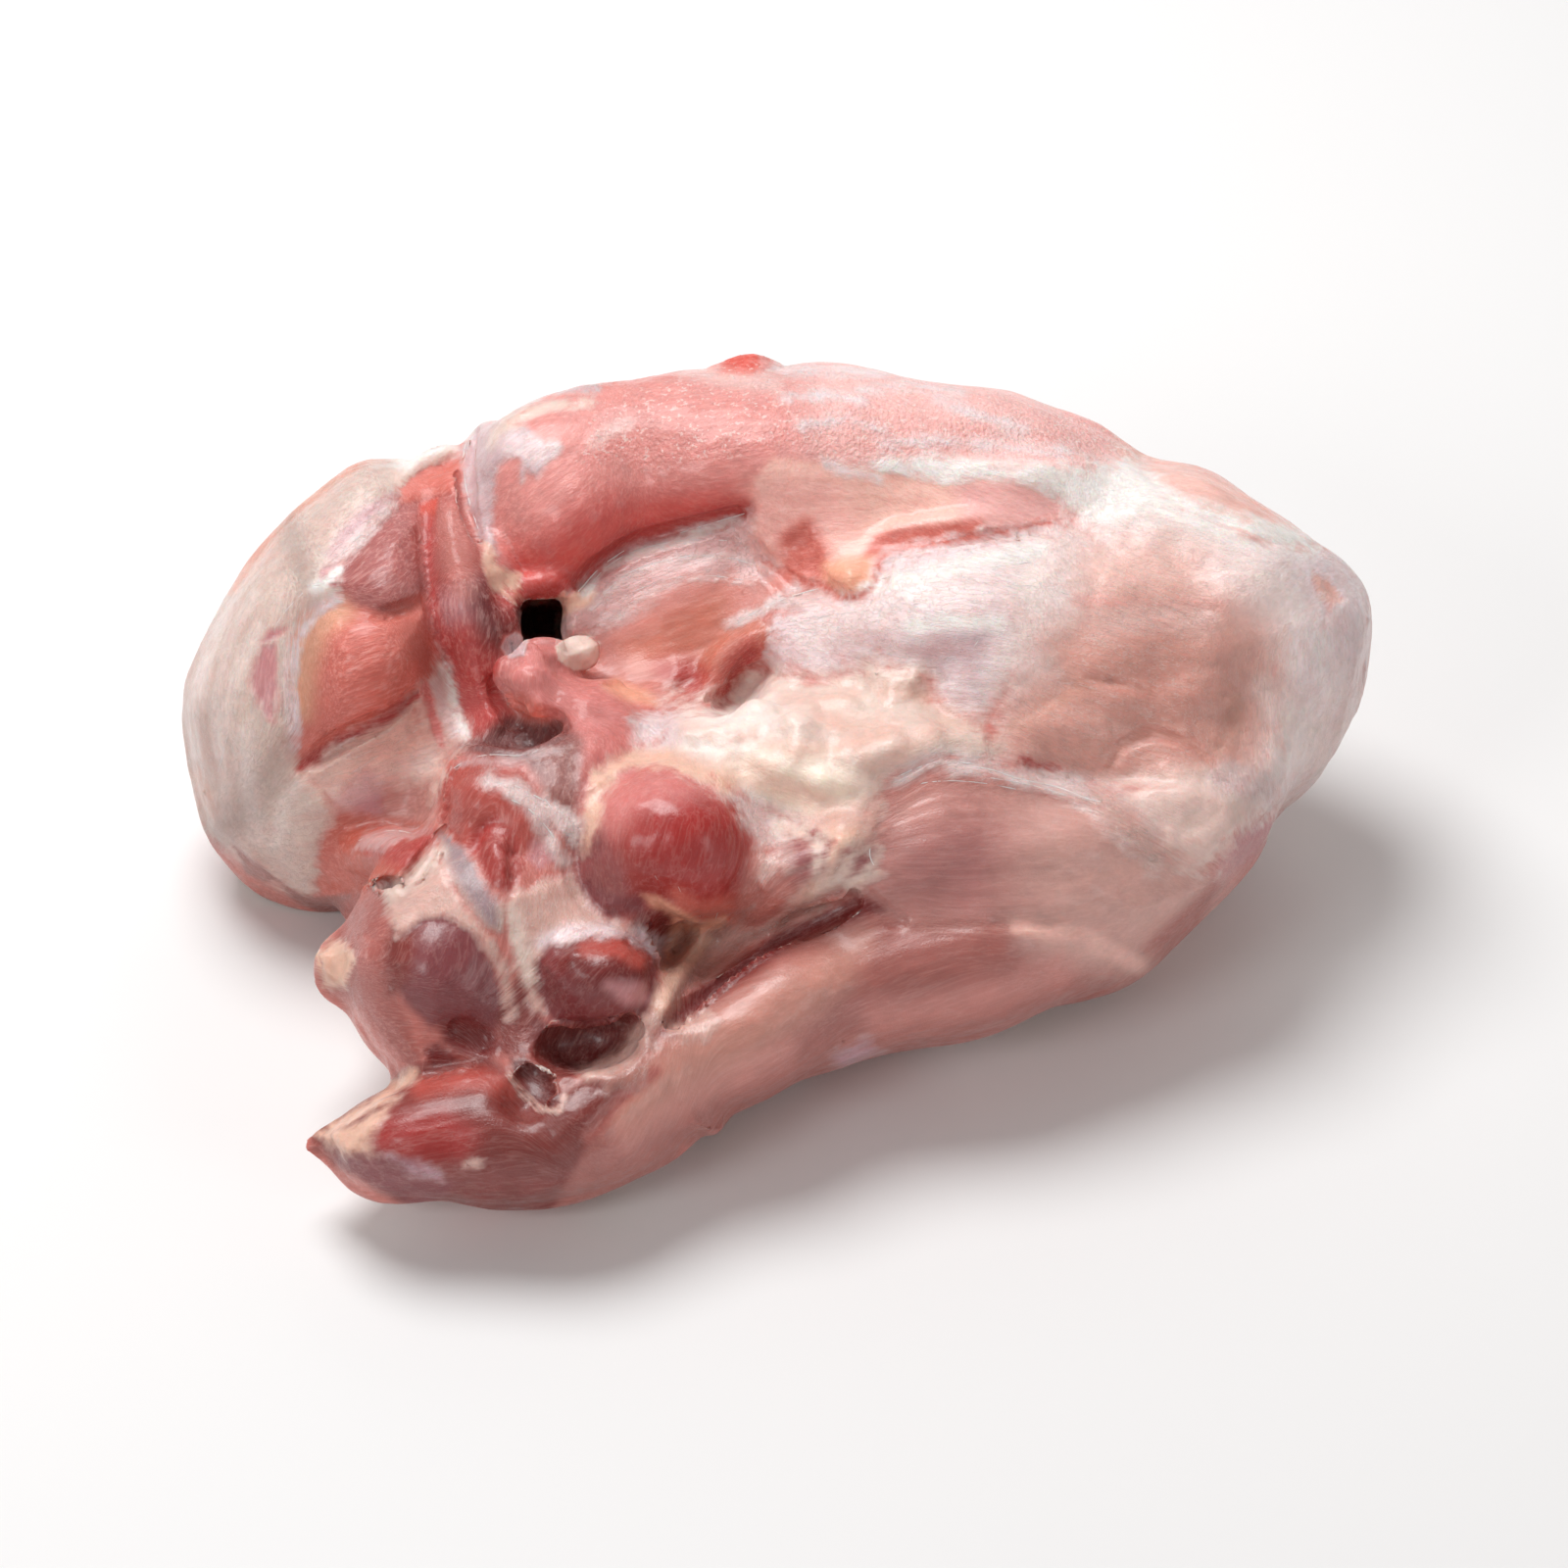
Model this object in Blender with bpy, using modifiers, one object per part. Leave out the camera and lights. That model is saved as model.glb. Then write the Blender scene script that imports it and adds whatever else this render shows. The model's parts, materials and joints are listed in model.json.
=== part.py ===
"""A boned and skinned pork joint lying on its flat side, with its cut muscles to the front.

Units are metres, +Z is up and the joint rests on Z = 0. The cut side is described on a plane that leans
back like a picture on an easel: a place there is (across, up the slope, out of the slope).
"""

import math

import bmesh
import bpy
from mathutils import Matrix, Vector

# Driving sizes.
JOINT_LENGTH = 0.268
DESIGN_LENGTH_MM = 268.0
MM = JOINT_LENGTH / DESIGN_LENGTH_MM  # one millimetre on a joint of the usual size
SLOPE_LEAN = math.radians(50.0)  # from lying flat to the cut side's slope
SLOPE_MIDDLE = (1.7 * MM, -11.6 * MM, 58.0 * MM)  # with the base's middle at the origin

# Finish of the solid.
FUSE_VOXEL = 2.6 * MM
MASS_ROUNDS = 16  # of smoothing, which rounds the valleys between the masses
SAG_DEPTH = 9.0 * MM  # from the deepest sag to the highest swelling
SAG_SIZE = 46.0 * MM
MUSCLE_ROUNDS = 4  # of smoothing after the small muscles are added and the seams cut
MOST_TRIANGLES = 9600
WELD_GAP = 0.01 * MM
TABLE_SIZE = (0.6, 0.6, 0.1)  # of the block that cuts the flat rest

# Raw pork, between its pink muscle and its cream fat.
FLESH_COLOUR = (0.62, 0.27, 0.22, 1.0)
FLESH_ROUGHNESS = 0.42

SLOPE = Matrix.Translation(SLOPE_MIDDLE) @ Matrix.Rotation(SLOPE_LEAN, 4, "X")

# Large soft masses on the slope, which flow into each other: middle, half sizes and turn about the
# slope's outward axis, in mm and degrees.
MASSES = {
    "top_muscle": ((4, 70, -50), (84, 27, 36), -1),
    "top_head": ((-50, 64, -44), (24, 26, 31), 10),
    "right_shoulder": ((79, 40, -48), (56, 34, 44), -27),
    "right_mass": ((48, 18, -44), (80, 56, 54), 0),
    "right_end": ((101, 27, -40), (37, 36, 40), -10),
    "left_lobe": ((-102, 22, -50), (36, 54, 43), -19),
    "left_face": ((-96, 22, -34), (19, 42, 30), -18),
    "middle_muscle": ((-22, 38, -48), (40, 24, 30), 20),
    "fat_saddle": ((14, 4, -14), (52, 18, 42), -4),
    "saddle_fill": ((24, -7, 0), (38, 18, 28), 4),
    "saddle_foot": ((20, -18, 6), (27, 15, 26), 16),
    "lower_right_muscle": ((52, -15, -14), (50, 17, 40), 7),
    "belly_right": ((79, -16, -14), (47, 22, 32), 38),
    "belly_middle": ((34, -37, 0), (60, 21, 30), 19),
    "belly_left": ((-41, -65, 22), (32, 21, 28), 16),
    "belly_link": ((-12, -53, 14), (34, 17, 28), 22),
    "belly_front": ((-54, -74, 30), (34, 18, 22), 6),
    "shank_body": ((-62, -36, 2), (36, 34, 40), 0),
    "shank_top": ((-52, -8, -2), (30, 24, 34), 0),
}

# Smaller muscles and flaps with firmer edges, given the same way.
MUSCLES = {
    "top_flap": ((15, 59, -28), (20, 15, 14), -12),
    "flap_right": ((42, 66, -30), (34, 11, 16), 6),
    "flap_tip": ((17, 46, -12), (5, 6, 5), 0),
    "inner_column": ((-70, 37, -38), (11, 34, 26), 14),
    "tongue": ((-10, 30, -26), (8, 14, 18), -30),
    "membrane_bulge": ((40, 33, -32), (44, 27, 42), -6),
    "nodule": ((-55, 23, -10), (9, 8, 11), 0),
    "nodule_bridge": ((-43, 15, -4), (13, 8, 14), -30),
    "heart_dome": ((-25, -13, 16), (24, 19, 25), 0),
    "heart_lip": ((6, -17, 6), (30, 13, 29), 22),
    "shank_outer": ((-76, -42, 18), (22, 27, 24), 12),
    "shank_knob": ((-41, -41, 26), (16, 13, 20), -8),
    "shank_ridge": ((-58, -25, 20), (9, 20, 20), 32),
    "shank_dome": ((-65, -6, 8), (13, 18, 22), 4),
    "tip_muscle": ((-78, -77, 34), (22, 14, 18), 16),
    "rim_flap": ((-98, -41, 14), (7, 9, 8), 0),
}

# Pointed ends: middle of the wide end, half widths at both ends, and the tip, on the slope in mm.
POINTS = {
    "tip_point": ((-82, -77, 35), 13, 1.5, (-106, -79, 32)),
}
POINT_SIDES = 24

# Hidden bulk, placed upright: middle and half sizes in mm.
BULK = {
    "middle_bulk": ((8, 28, 36), (104, 68, 37)),
    "back_bulk": ((5, 56, 44), (100, 46, 46)),
    "back_left": ((-72, 58, 38), (46, 38, 36)),
    "left_under": ((-74, 2, 20), (28, 34, 20)),
    "under_bulk": ((-2, 26, 12), (90, 54, 28)),
}

# Seams between the muscles: a tube's path on the slope, and its half width, in mm.
SEAMS = {
    "under_heart": (((42, -27, 31), (18, -27, 31), (0, -34, 36), (-13, -42, 40), (-26, -53, 46)), 5.0),
    "heart_edge": (((-6, -32, 34), (-16, -35, 38), (-26, -35, 42), (-36, -30, 44)), 3.2),
    "column_left": (((-82, 60, -12), (-79, 45, -10), (-78, 30, -10), (-73, 16, -8)), 3.2),
    "under_top": (((-66, 50, -20), (-54, 40, -20), (-40, 49, -20), (-22, 56, -18), (-6, 57, -18)), 3.4),
    "lobe_to_shank": (((-98, -28, -14), (-84, -16, -6), (-77, -4, 0), (-70, 8, 0)), 3.0),
    "tip_notch": (((-92, -62, 30), (-82, -61, 40), (-70, -60, 46)), 2.6),
    "knob_left": (((-52, -30, 44), (-57, -42, 44), (-52, -54, 46)), 2.0),
    "dome_right": (((-52, 8, 20), (-50, -6, 30), (-50, -20, 40)), 2.6),
    "over_belly": (((30, 2, 31), (57, 1, 25), (77, -3, 19), (95, -10, 12), (112, -9, -4)), 3.0),
}

# Hollows: middle, half sizes and turn on the slope.
HOLLOWS = {
    "bone_pocket": ((-55, 37, -40), (8, 10, 38), 0),
    "pocket_corner": ((-51, 33, -30), (5, 6, 30), 25),
    "wet_pool": ((-60, 12, 4), (12, 6, 20), -8),
    "tongue_hollow": ((-8, 23, 2), (5, 11, 24), -35),
    "knob_hollow": ((-43, -57, 44), (13, 4.5, 18), 5),
    "shank_pit": ((-56, -67, 54), (5, 6, 14), 20),
    "fold_pit": ((60, 3, 14), (8, 2.5, 9), 10),
}


def clear_scene():
    for item in list(bpy.data.objects):
        bpy.data.objects.remove(item)


def collection(name):
    made = bpy.data.collections.new(name)
    bpy.context.scene.collection.children.link(made)
    return made


def put_in(item, group):
    for old in list(item.users_collection):
        old.objects.unlink(item)
    group.objects.link(item)


def ellipsoid(name, matrix, half_sizes, group):
    bpy.ops.mesh.primitive_ico_sphere_add(subdivisions=3, radius=1.0)
    item = bpy.context.object
    item.name = name
    item.data.transform(Matrix.Diagonal((*(h * MM for h in half_sizes), 1.0)))
    item.matrix_world = matrix
    put_in(item, group)
    return item


def cone(name, foot, foot_radius, tip_radius, tip, group):
    along = (Vector(tip) - Vector(foot)) * MM
    bpy.ops.mesh.primitive_cone_add(
        vertices=POINT_SIDES, radius1=foot_radius * MM, radius2=tip_radius * MM, depth=along.length
    )
    item = bpy.context.object
    item.name = name
    middle = (Vector(foot) + Vector(tip)) / 2 * MM
    turn = along.to_track_quat("Z", "Y").to_matrix().to_4x4()
    item.matrix_world = SLOPE @ Matrix.Translation(middle) @ turn
    put_in(item, group)
    return item


def on_slope(middle, turn):
    place = Matrix.Translation(Vector(middle) * MM)
    return SLOPE @ place @ Matrix.Rotation(math.radians(turn), 4, "Z")


def tube(name, path, half_width, group):
    line = bpy.data.curves.new(name + "_line", "CURVE")
    line.dimensions = "3D"
    line.bevel_depth = half_width * MM
    line.bevel_resolution = 3
    line.use_fill_caps = True
    spline = line.splines.new("NURBS")
    spline.points.add(len(path) - 1)
    for point, place in zip(spline.points, path):
        point.co = (*(Vector(place) * MM), 1.0)
    spline.use_endpoint_u = True
    spline.order_u = 3
    guide = bpy.data.objects.new(name + "_line", line)
    bpy.context.scene.collection.objects.link(guide)
    guide.matrix_world = SLOPE
    bpy.context.view_layer.update()
    graph = bpy.context.evaluated_depsgraph_get()
    mesh = bpy.data.meshes.new_from_object(guide.evaluated_get(graph))
    item = bpy.data.objects.new(name, mesh)
    item.matrix_world = guide.matrix_world
    bpy.data.objects.remove(guide)
    bpy.context.scene.collection.objects.link(item)
    put_in(item, group)
    weld_caps(mesh)
    return item


def weld_caps(mesh):
    caps = bmesh.new()
    caps.from_mesh(mesh)
    bmesh.ops.remove_doubles(caps, verts=caps.verts, dist=WELD_GAP)
    caps.to_mesh(mesh)
    caps.free()


def boolean(item, name, operation, group):
    """Joins or cuts by a collection. Every mesh here is closed, and EXACT takes many times as long."""
    cut = item.modifiers.new(name, "BOOLEAN")
    cut.operation = operation
    cut.operand_type = "COLLECTION"
    cut.collection = group
    cut.solver = "MANIFOLD"


def fuse(item, group):
    """Joins the collection's objects to item, and removes them."""
    boolean(item, "fuse " + group.name, "UNION", group)
    apply_all(item)
    empty(group)


def cut_away(item, group):
    """Cuts the collection's objects out of item, and removes them."""
    boolean(item, "cut " + group.name, "DIFFERENCE", group)
    apply_all(item)
    empty(group)


def empty(group):
    for other in list(group.objects):
        bpy.data.objects.remove(other)


def apply_all(item):
    bpy.context.view_layer.objects.active = item
    for modifier in list(item.modifiers):
        bpy.ops.object.modifier_apply(modifier=modifier.name)


def voxel(item, name):
    remesh = item.modifiers.new(name, "REMESH")
    remesh.mode = "VOXEL"
    remesh.voxel_size = FUSE_VOXEL


def smooth(item, name, rounds):
    soften = item.modifiers.new(name, "SMOOTH")
    soften.factor = 0.5
    soften.iterations = rounds


def sag(item, name):
    """Uneven swelling and sinking, so that no mass keeps a perfect egg's shape."""
    clouds = bpy.data.textures.new(name, "CLOUDS")
    clouds.noise_scale = SAG_SIZE
    clouds.noise_depth = 1
    swell = item.modifiers.new(name, "DISPLACE")
    swell.texture = clouds
    swell.texture_coords = "LOCAL"
    swell.strength = SAG_DEPTH
    swell.mid_level = 0.5


def fewer_faces(item, name):
    thin = item.modifiers.new(name, "DECIMATE")
    thin.ratio = MOST_TRIANGLES / sum(len(face.vertices) - 2 for face in item.data.polygons)


def soft_masses(model):
    """The large muscles and the fat as one smooth closed mesh, with no firm edges yet."""
    masses = collection("masses")
    for name, (middle, half_sizes) in BULK.items():
        ellipsoid(name, Matrix.Translation(Vector(middle) * MM), half_sizes, masses)
    for name, (middle, half_sizes, turn) in MASSES.items():
        ellipsoid(name, on_slope(middle, turn), half_sizes, masses)
    joint = masses.objects["middle_bulk"]
    put_in(joint, model)
    joint.name = "pork_joint"
    joint.data.transform(joint.matrix_world)
    joint.matrix_world = Matrix.Identity(4)
    fuse(joint, masses)
    voxel(joint, "even skin")
    smooth(joint, "flow together", MASS_ROUNDS)
    sag(joint, "uneven flesh")
    apply_all(joint)
    return joint


def add_muscles(joint):
    muscles = collection("muscles")
    for name, (middle, half_sizes, turn) in MUSCLES.items():
        ellipsoid(name, on_slope(middle, turn), half_sizes, muscles)
    for name, (foot, foot_radius, tip_radius, tip) in POINTS.items():
        cone(name, foot, foot_radius, tip_radius, tip, muscles)
    fuse(joint, muscles)


def cut_seams(joint):
    cutters = collection("seams_and_hollows")
    for name, (path, half_width) in SEAMS.items():
        tube(name, path, half_width, cutters)
    for name, (middle, half_sizes, turn) in HOLLOWS.items():
        ellipsoid(name, on_slope(middle, turn), half_sizes, cutters)
    cut_away(joint, cutters)


def rest_flat(joint):
    """Cuts away what would lie below the table."""
    tables = collection("tables")
    bpy.ops.mesh.primitive_cube_add(size=1.0)
    table = bpy.context.object
    table.data.transform(Matrix.Diagonal((*TABLE_SIZE, 1.0)))
    table.location = (0, 0, -TABLE_SIZE[2] / 2)
    put_in(table, tables)
    cut_away(joint, tables)


def flesh():
    material = bpy.data.materials.new("raw_pork")
    material.use_nodes = True
    surface = material.node_tree.nodes["Principled BSDF"]
    surface.inputs["Base Color"].default_value = FLESH_COLOUR
    surface.inputs["Roughness"].default_value = FLESH_ROUGHNESS
    surface.inputs["Metallic"].default_value = 0.0
    return material


def pork_joint():
    joint = soft_masses(collection("boned_pork_joint"))
    add_muscles(joint)
    cut_seams(joint)
    voxel(joint, "even cuts")
    smooth(joint, "soften edges", MUSCLE_ROUNDS)
    apply_all(joint)
    fewer_faces(joint, "fewer faces")
    apply_all(joint)
    rest_flat(joint)
    joint.data.materials.clear()
    joint.data.materials.append(flesh())
    joint.data.shade_smooth()


clear_scene()
pork_joint()
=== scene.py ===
import json
import math

import bpy
import numpy as np
from mathutils import Matrix, Vector, noise
from mathutils.bvhtree import BVHTree

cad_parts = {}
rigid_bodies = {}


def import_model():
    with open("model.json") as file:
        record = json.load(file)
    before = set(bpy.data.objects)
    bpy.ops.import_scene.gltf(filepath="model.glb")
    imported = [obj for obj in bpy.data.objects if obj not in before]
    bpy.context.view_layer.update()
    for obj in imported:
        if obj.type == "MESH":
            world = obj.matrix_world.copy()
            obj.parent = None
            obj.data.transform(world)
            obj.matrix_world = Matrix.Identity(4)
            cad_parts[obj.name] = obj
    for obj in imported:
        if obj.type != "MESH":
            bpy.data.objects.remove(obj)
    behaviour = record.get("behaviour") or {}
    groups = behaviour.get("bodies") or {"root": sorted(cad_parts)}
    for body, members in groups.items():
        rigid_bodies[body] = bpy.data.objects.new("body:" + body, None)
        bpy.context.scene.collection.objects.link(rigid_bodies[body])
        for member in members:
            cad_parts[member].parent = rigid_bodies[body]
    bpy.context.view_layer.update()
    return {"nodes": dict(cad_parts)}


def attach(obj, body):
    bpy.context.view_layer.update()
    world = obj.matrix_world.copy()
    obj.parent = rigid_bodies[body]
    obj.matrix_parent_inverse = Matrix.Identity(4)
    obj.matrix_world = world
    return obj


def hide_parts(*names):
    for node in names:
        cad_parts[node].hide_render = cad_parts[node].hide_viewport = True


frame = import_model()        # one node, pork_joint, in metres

# The cut side leans back like an easel. A place on it is (across, up, out) in mm, and the camera looks
# straight at it, so a feature can be pinned by its pixel in a square picture of the joint.
easel = {
    "pixels": 1600,
    "mmPerPixel": 0.22,
    "lean": math.radians(50),
    "middle": Vector((0.0017, -0.0116, 0.058)),
    "distance": 1050.0,      # of the camera, in mm
    "pullIn": 0.006,         # share by which a pixel past the outline is moved inwards at each try
    "tries": 14,
}
easelMatrix = Matrix.Translation(easel["middle"]) @ Matrix.Rotation(easel["lean"], 4, "X")
easelTurn = easelMatrix.to_3x3()
outwards = easelTurn @ Vector((0, 0, 1))
eyePlace = easelMatrix @ Vector((0, 0, easel["distance"] / 1000.0))
halfPicture = easel["pixels"] / 2


def toEasel(co):
    return (co - np.array(easel["middle"])) @ np.array(easelTurn) * 1000.0


def toPixels(co):
    place = toEasel(co)
    near = 1.0 / (1.0 - place[:, 2] / easel["distance"])
    x = halfPicture + place[:, 0] * near / easel["mmPerPixel"]
    y = halfPicture - place[:, 1] * near / easel["mmPerPixel"]
    return np.column_stack((x, y))


def pairs(flat):
    # a row of x, y, x, y and so on as places
    return np.array(flat, float).reshape(-1, 2)


def pinned(tree, pixel):
    # where the sight line through a pixel meets the skin; past the outline it moves inwards
    for step in range(easel["tries"]):
        shrink = 1.0 - easel["pullIn"] * step
        across = (pixel[0] - halfPicture) * shrink * easel["mmPerPixel"] / 1000.0
        up = (halfPicture - pixel[1]) * shrink * easel["mmPerPixel"] / 1000.0
        aim = easelMatrix @ Vector((across, up, 0))
        hit, normal, index, far = tree.ray_cast(eyePlace, (aim - eyePlace).normalized())
        if hit is not None:
            return hit, normal
    raise RuntimeError("nothing is under pixel " + str(pixel))


def deselectAll():
    if bpy.context.object and bpy.context.object.mode != "OBJECT":
        bpy.ops.object.mode_set(mode="OBJECT")
    bpy.ops.object.select_all(action="DESELECT")


def makeActive(piece):
    deselectAll()
    piece.select_set(True)
    bpy.context.view_layer.objects.active = piece


def applyAll(piece):
    makeActive(piece)
    for modifier in list(piece.modifiers):
        bpy.ops.object.modifier_apply(modifier=modifier.name)


def joinTo(piece, others):
    makeActive(piece)
    for other in others:
        other.select_set(True)
    bpy.ops.object.join()


def merged(piece, gap, outside=False):
    # edit mode's merge by distance, and its faces turned outwards
    makeActive(piece)
    bpy.ops.object.mode_set(mode="EDIT")
    bpy.ops.mesh.select_all(action="SELECT")
    bpy.ops.mesh.remove_doubles(threshold=gap)
    if outside:
        bpy.ops.mesh.normals_make_consistent(inside=False)
    bpy.ops.object.mode_set(mode="OBJECT")


def remeshed(piece, rounds):
    voxels = piece.modifiers.new("evenSkin", "REMESH")
    voxels.mode = "VOXEL"
    voxels.voxel_size = skinShape["voxel"]
    soften = piece.modifiers.new("soften", "SMOOTH")
    soften.factor = skinShape["soften"]
    soften.iterations = rounds
    applyAll(piece)


def treeOf(piece):
    return BVHTree.FromObject(piece, bpy.context.evaluated_depsgraph_get())


def placesOf(piece):
    # the places and the normals of its vertices
    mesh = piece.data
    co = np.zeros(len(mesh.vertices) * 3, np.float32)
    normals = np.zeros(len(mesh.vertices) * 3, np.float32)
    mesh.vertices.foreach_get("co", co)
    mesh.vertex_normals.foreach_get("vector", normals)
    return co.reshape(-1, 3).astype(float), normals.reshape(-1, 3).astype(float)


def setPlaces(piece, co):
    co[:, 2] = np.maximum(co[:, 2], 0.0)     # nothing goes below the table
    piece.data.vertices.foreach_set("co", co.astype(np.float32).ravel())
    piece.data.update()


def smoothStep(low, high, value):
    t = np.clip((value - low) / (high - low), 0.0, 1.0)
    return t * t * (3.0 - 2.0 * t)


def lineDistance(places, path, closed=False):
    # distance in mm from each place to a line of pixels
    points = pairs(path)
    ends = np.roll(points, -1, axis=0) if closed else points[1:]
    starts = points if closed else points[:-1]
    best = np.full(len(places), 1e9)
    for start, end in zip(starts, ends):
        along = end - start
        length = max(along @ along, 1e-9)
        gap = places - start
        t = np.clip(gap @ along / length, 0.0, 1.0)
        off = gap - t[:, None] * along
        best = np.minimum(best, np.sqrt((off * off).sum(axis=1)))
    return best * easel["mmPerPixel"]


def insideOutline(places, outline):
    # distance in mm to a closed outline of pixels, positive inside it
    far = lineDistance(places, outline, closed=True)
    points = pairs(outline)
    x, y = places[:, 0], places[:, 1]
    inside = np.zeros(len(places), bool)
    for (x0, y0), (x1, y1) in zip(points, np.roll(points, -1, axis=0)):
        crosses = (y0 > y) != (y1 > y)
        if y1 != y0:
            inside ^= crosses & (x < (x1 - x0) * (y - y0) / (y1 - y0) + x0)
    return np.where(inside, far, -far)


def nearOutline(pixels, outline, margin):
    points = pairs(outline)
    low, high = points.min(axis=0) - margin, points.max(axis=0) + margin
    return np.nonzero(((pixels > low) & (pixels < high)).all(axis=1))[0]


def unevenness(co, size, seed):
    # smooth noise from -1 to 1 at each place, with lumps of about that size in metres
    shift = Vector((seed * 7.3, seed * 3.1, seed * 5.7))
    return np.array([noise.noise(Vector(c) / size + shift) for c in co])


def facingOf(co, normals):
    # 1 where the skin looks at the cut side's viewer, -1 where it looks away
    sight = np.array(eyePlace) - co
    sight /= np.linalg.norm(sight, axis=1)[:, None]
    return (normals * sight).sum(axis=1)


skinShape = {
    "voxel": 0.0010,
    "soften": 0.5,
    "baseRounds": 6,         # of smoothing, after each step
    "rollRounds": 3,
    "cleftRounds": 1,
    "weld": 1e-6,
    "mostTriangles": 196000,
    "spareFirst": 0.00001,   # how strongly the mesh is thinned away from the cut side first
    "spareFrom": 0.25,       # facing at which that starts and is whole
    "spareWhole": -0.3,
    "spareLevels": 10,
    "spareLeast": 0.02,
}
rodShape = {
    "endWidth": 0.62,        # of the middle's width
    "sides": 3,
    "steps": 6,
    "weld": 1e-5,
}
knobShape = {
    "segments": 20,
    "rings": 12,
}


def skinFromFrame():
    node = frame["nodes"]["pork_joint"]
    skin = node.copy()
    skin.data = node.data.copy()
    skin.name = "jointSkin"
    for key in list(skin.keys()):
        del skin[key]
    skin.parent = None
    bpy.context.scene.collection.objects.link(skin)
    merged(skin, skinShape["weld"])
    remeshed(skin, skinShape["baseRounds"])
    return skin


def rodAlong(name, places, halfWidth):
    bpy.ops.curve.primitive_nurbs_path_add(radius=1.0)
    guide = bpy.context.object
    guide.name = name
    line = guide.data
    line.splines.clear()
    spline = line.splines.new("NURBS")
    last = len(places) - 1
    spline.points.add(last)
    for index, (point, place) in enumerate(zip(spline.points, places)):
        point.co = (*place, 1.0)
        point.radius = rodShape["endWidth"] if index in (0, last) else 1.0
    spline.use_endpoint_u = True
    spline.order_u = min(3, len(places))
    line.bevel_depth = halfWidth / 1000.0
    line.bevel_resolution = rodShape["sides"]
    line.use_fill_caps = True
    line.resolution_u = rodShape["steps"]
    guide.matrix_world = Matrix.Identity(4)
    makeActive(guide)
    bpy.ops.object.convert(target="MESH")
    rod = bpy.context.object
    merged(rod, rodShape["weld"], outside=True)
    return rod


def tubeOnSkin(name, tree, pixels, halfWidth, depth):
    # a round rod along pinned places, its middle line sunk below the skin by so many mm
    places = []
    for pixel in pixels:
        hit, normal = pinned(tree, pixel)
        places.append(hit - outwards * depth / 1000.0 * 0.5 - normal * depth / 1000.0 * 0.5)
    return rodAlong(name, places, halfWidth)


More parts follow.
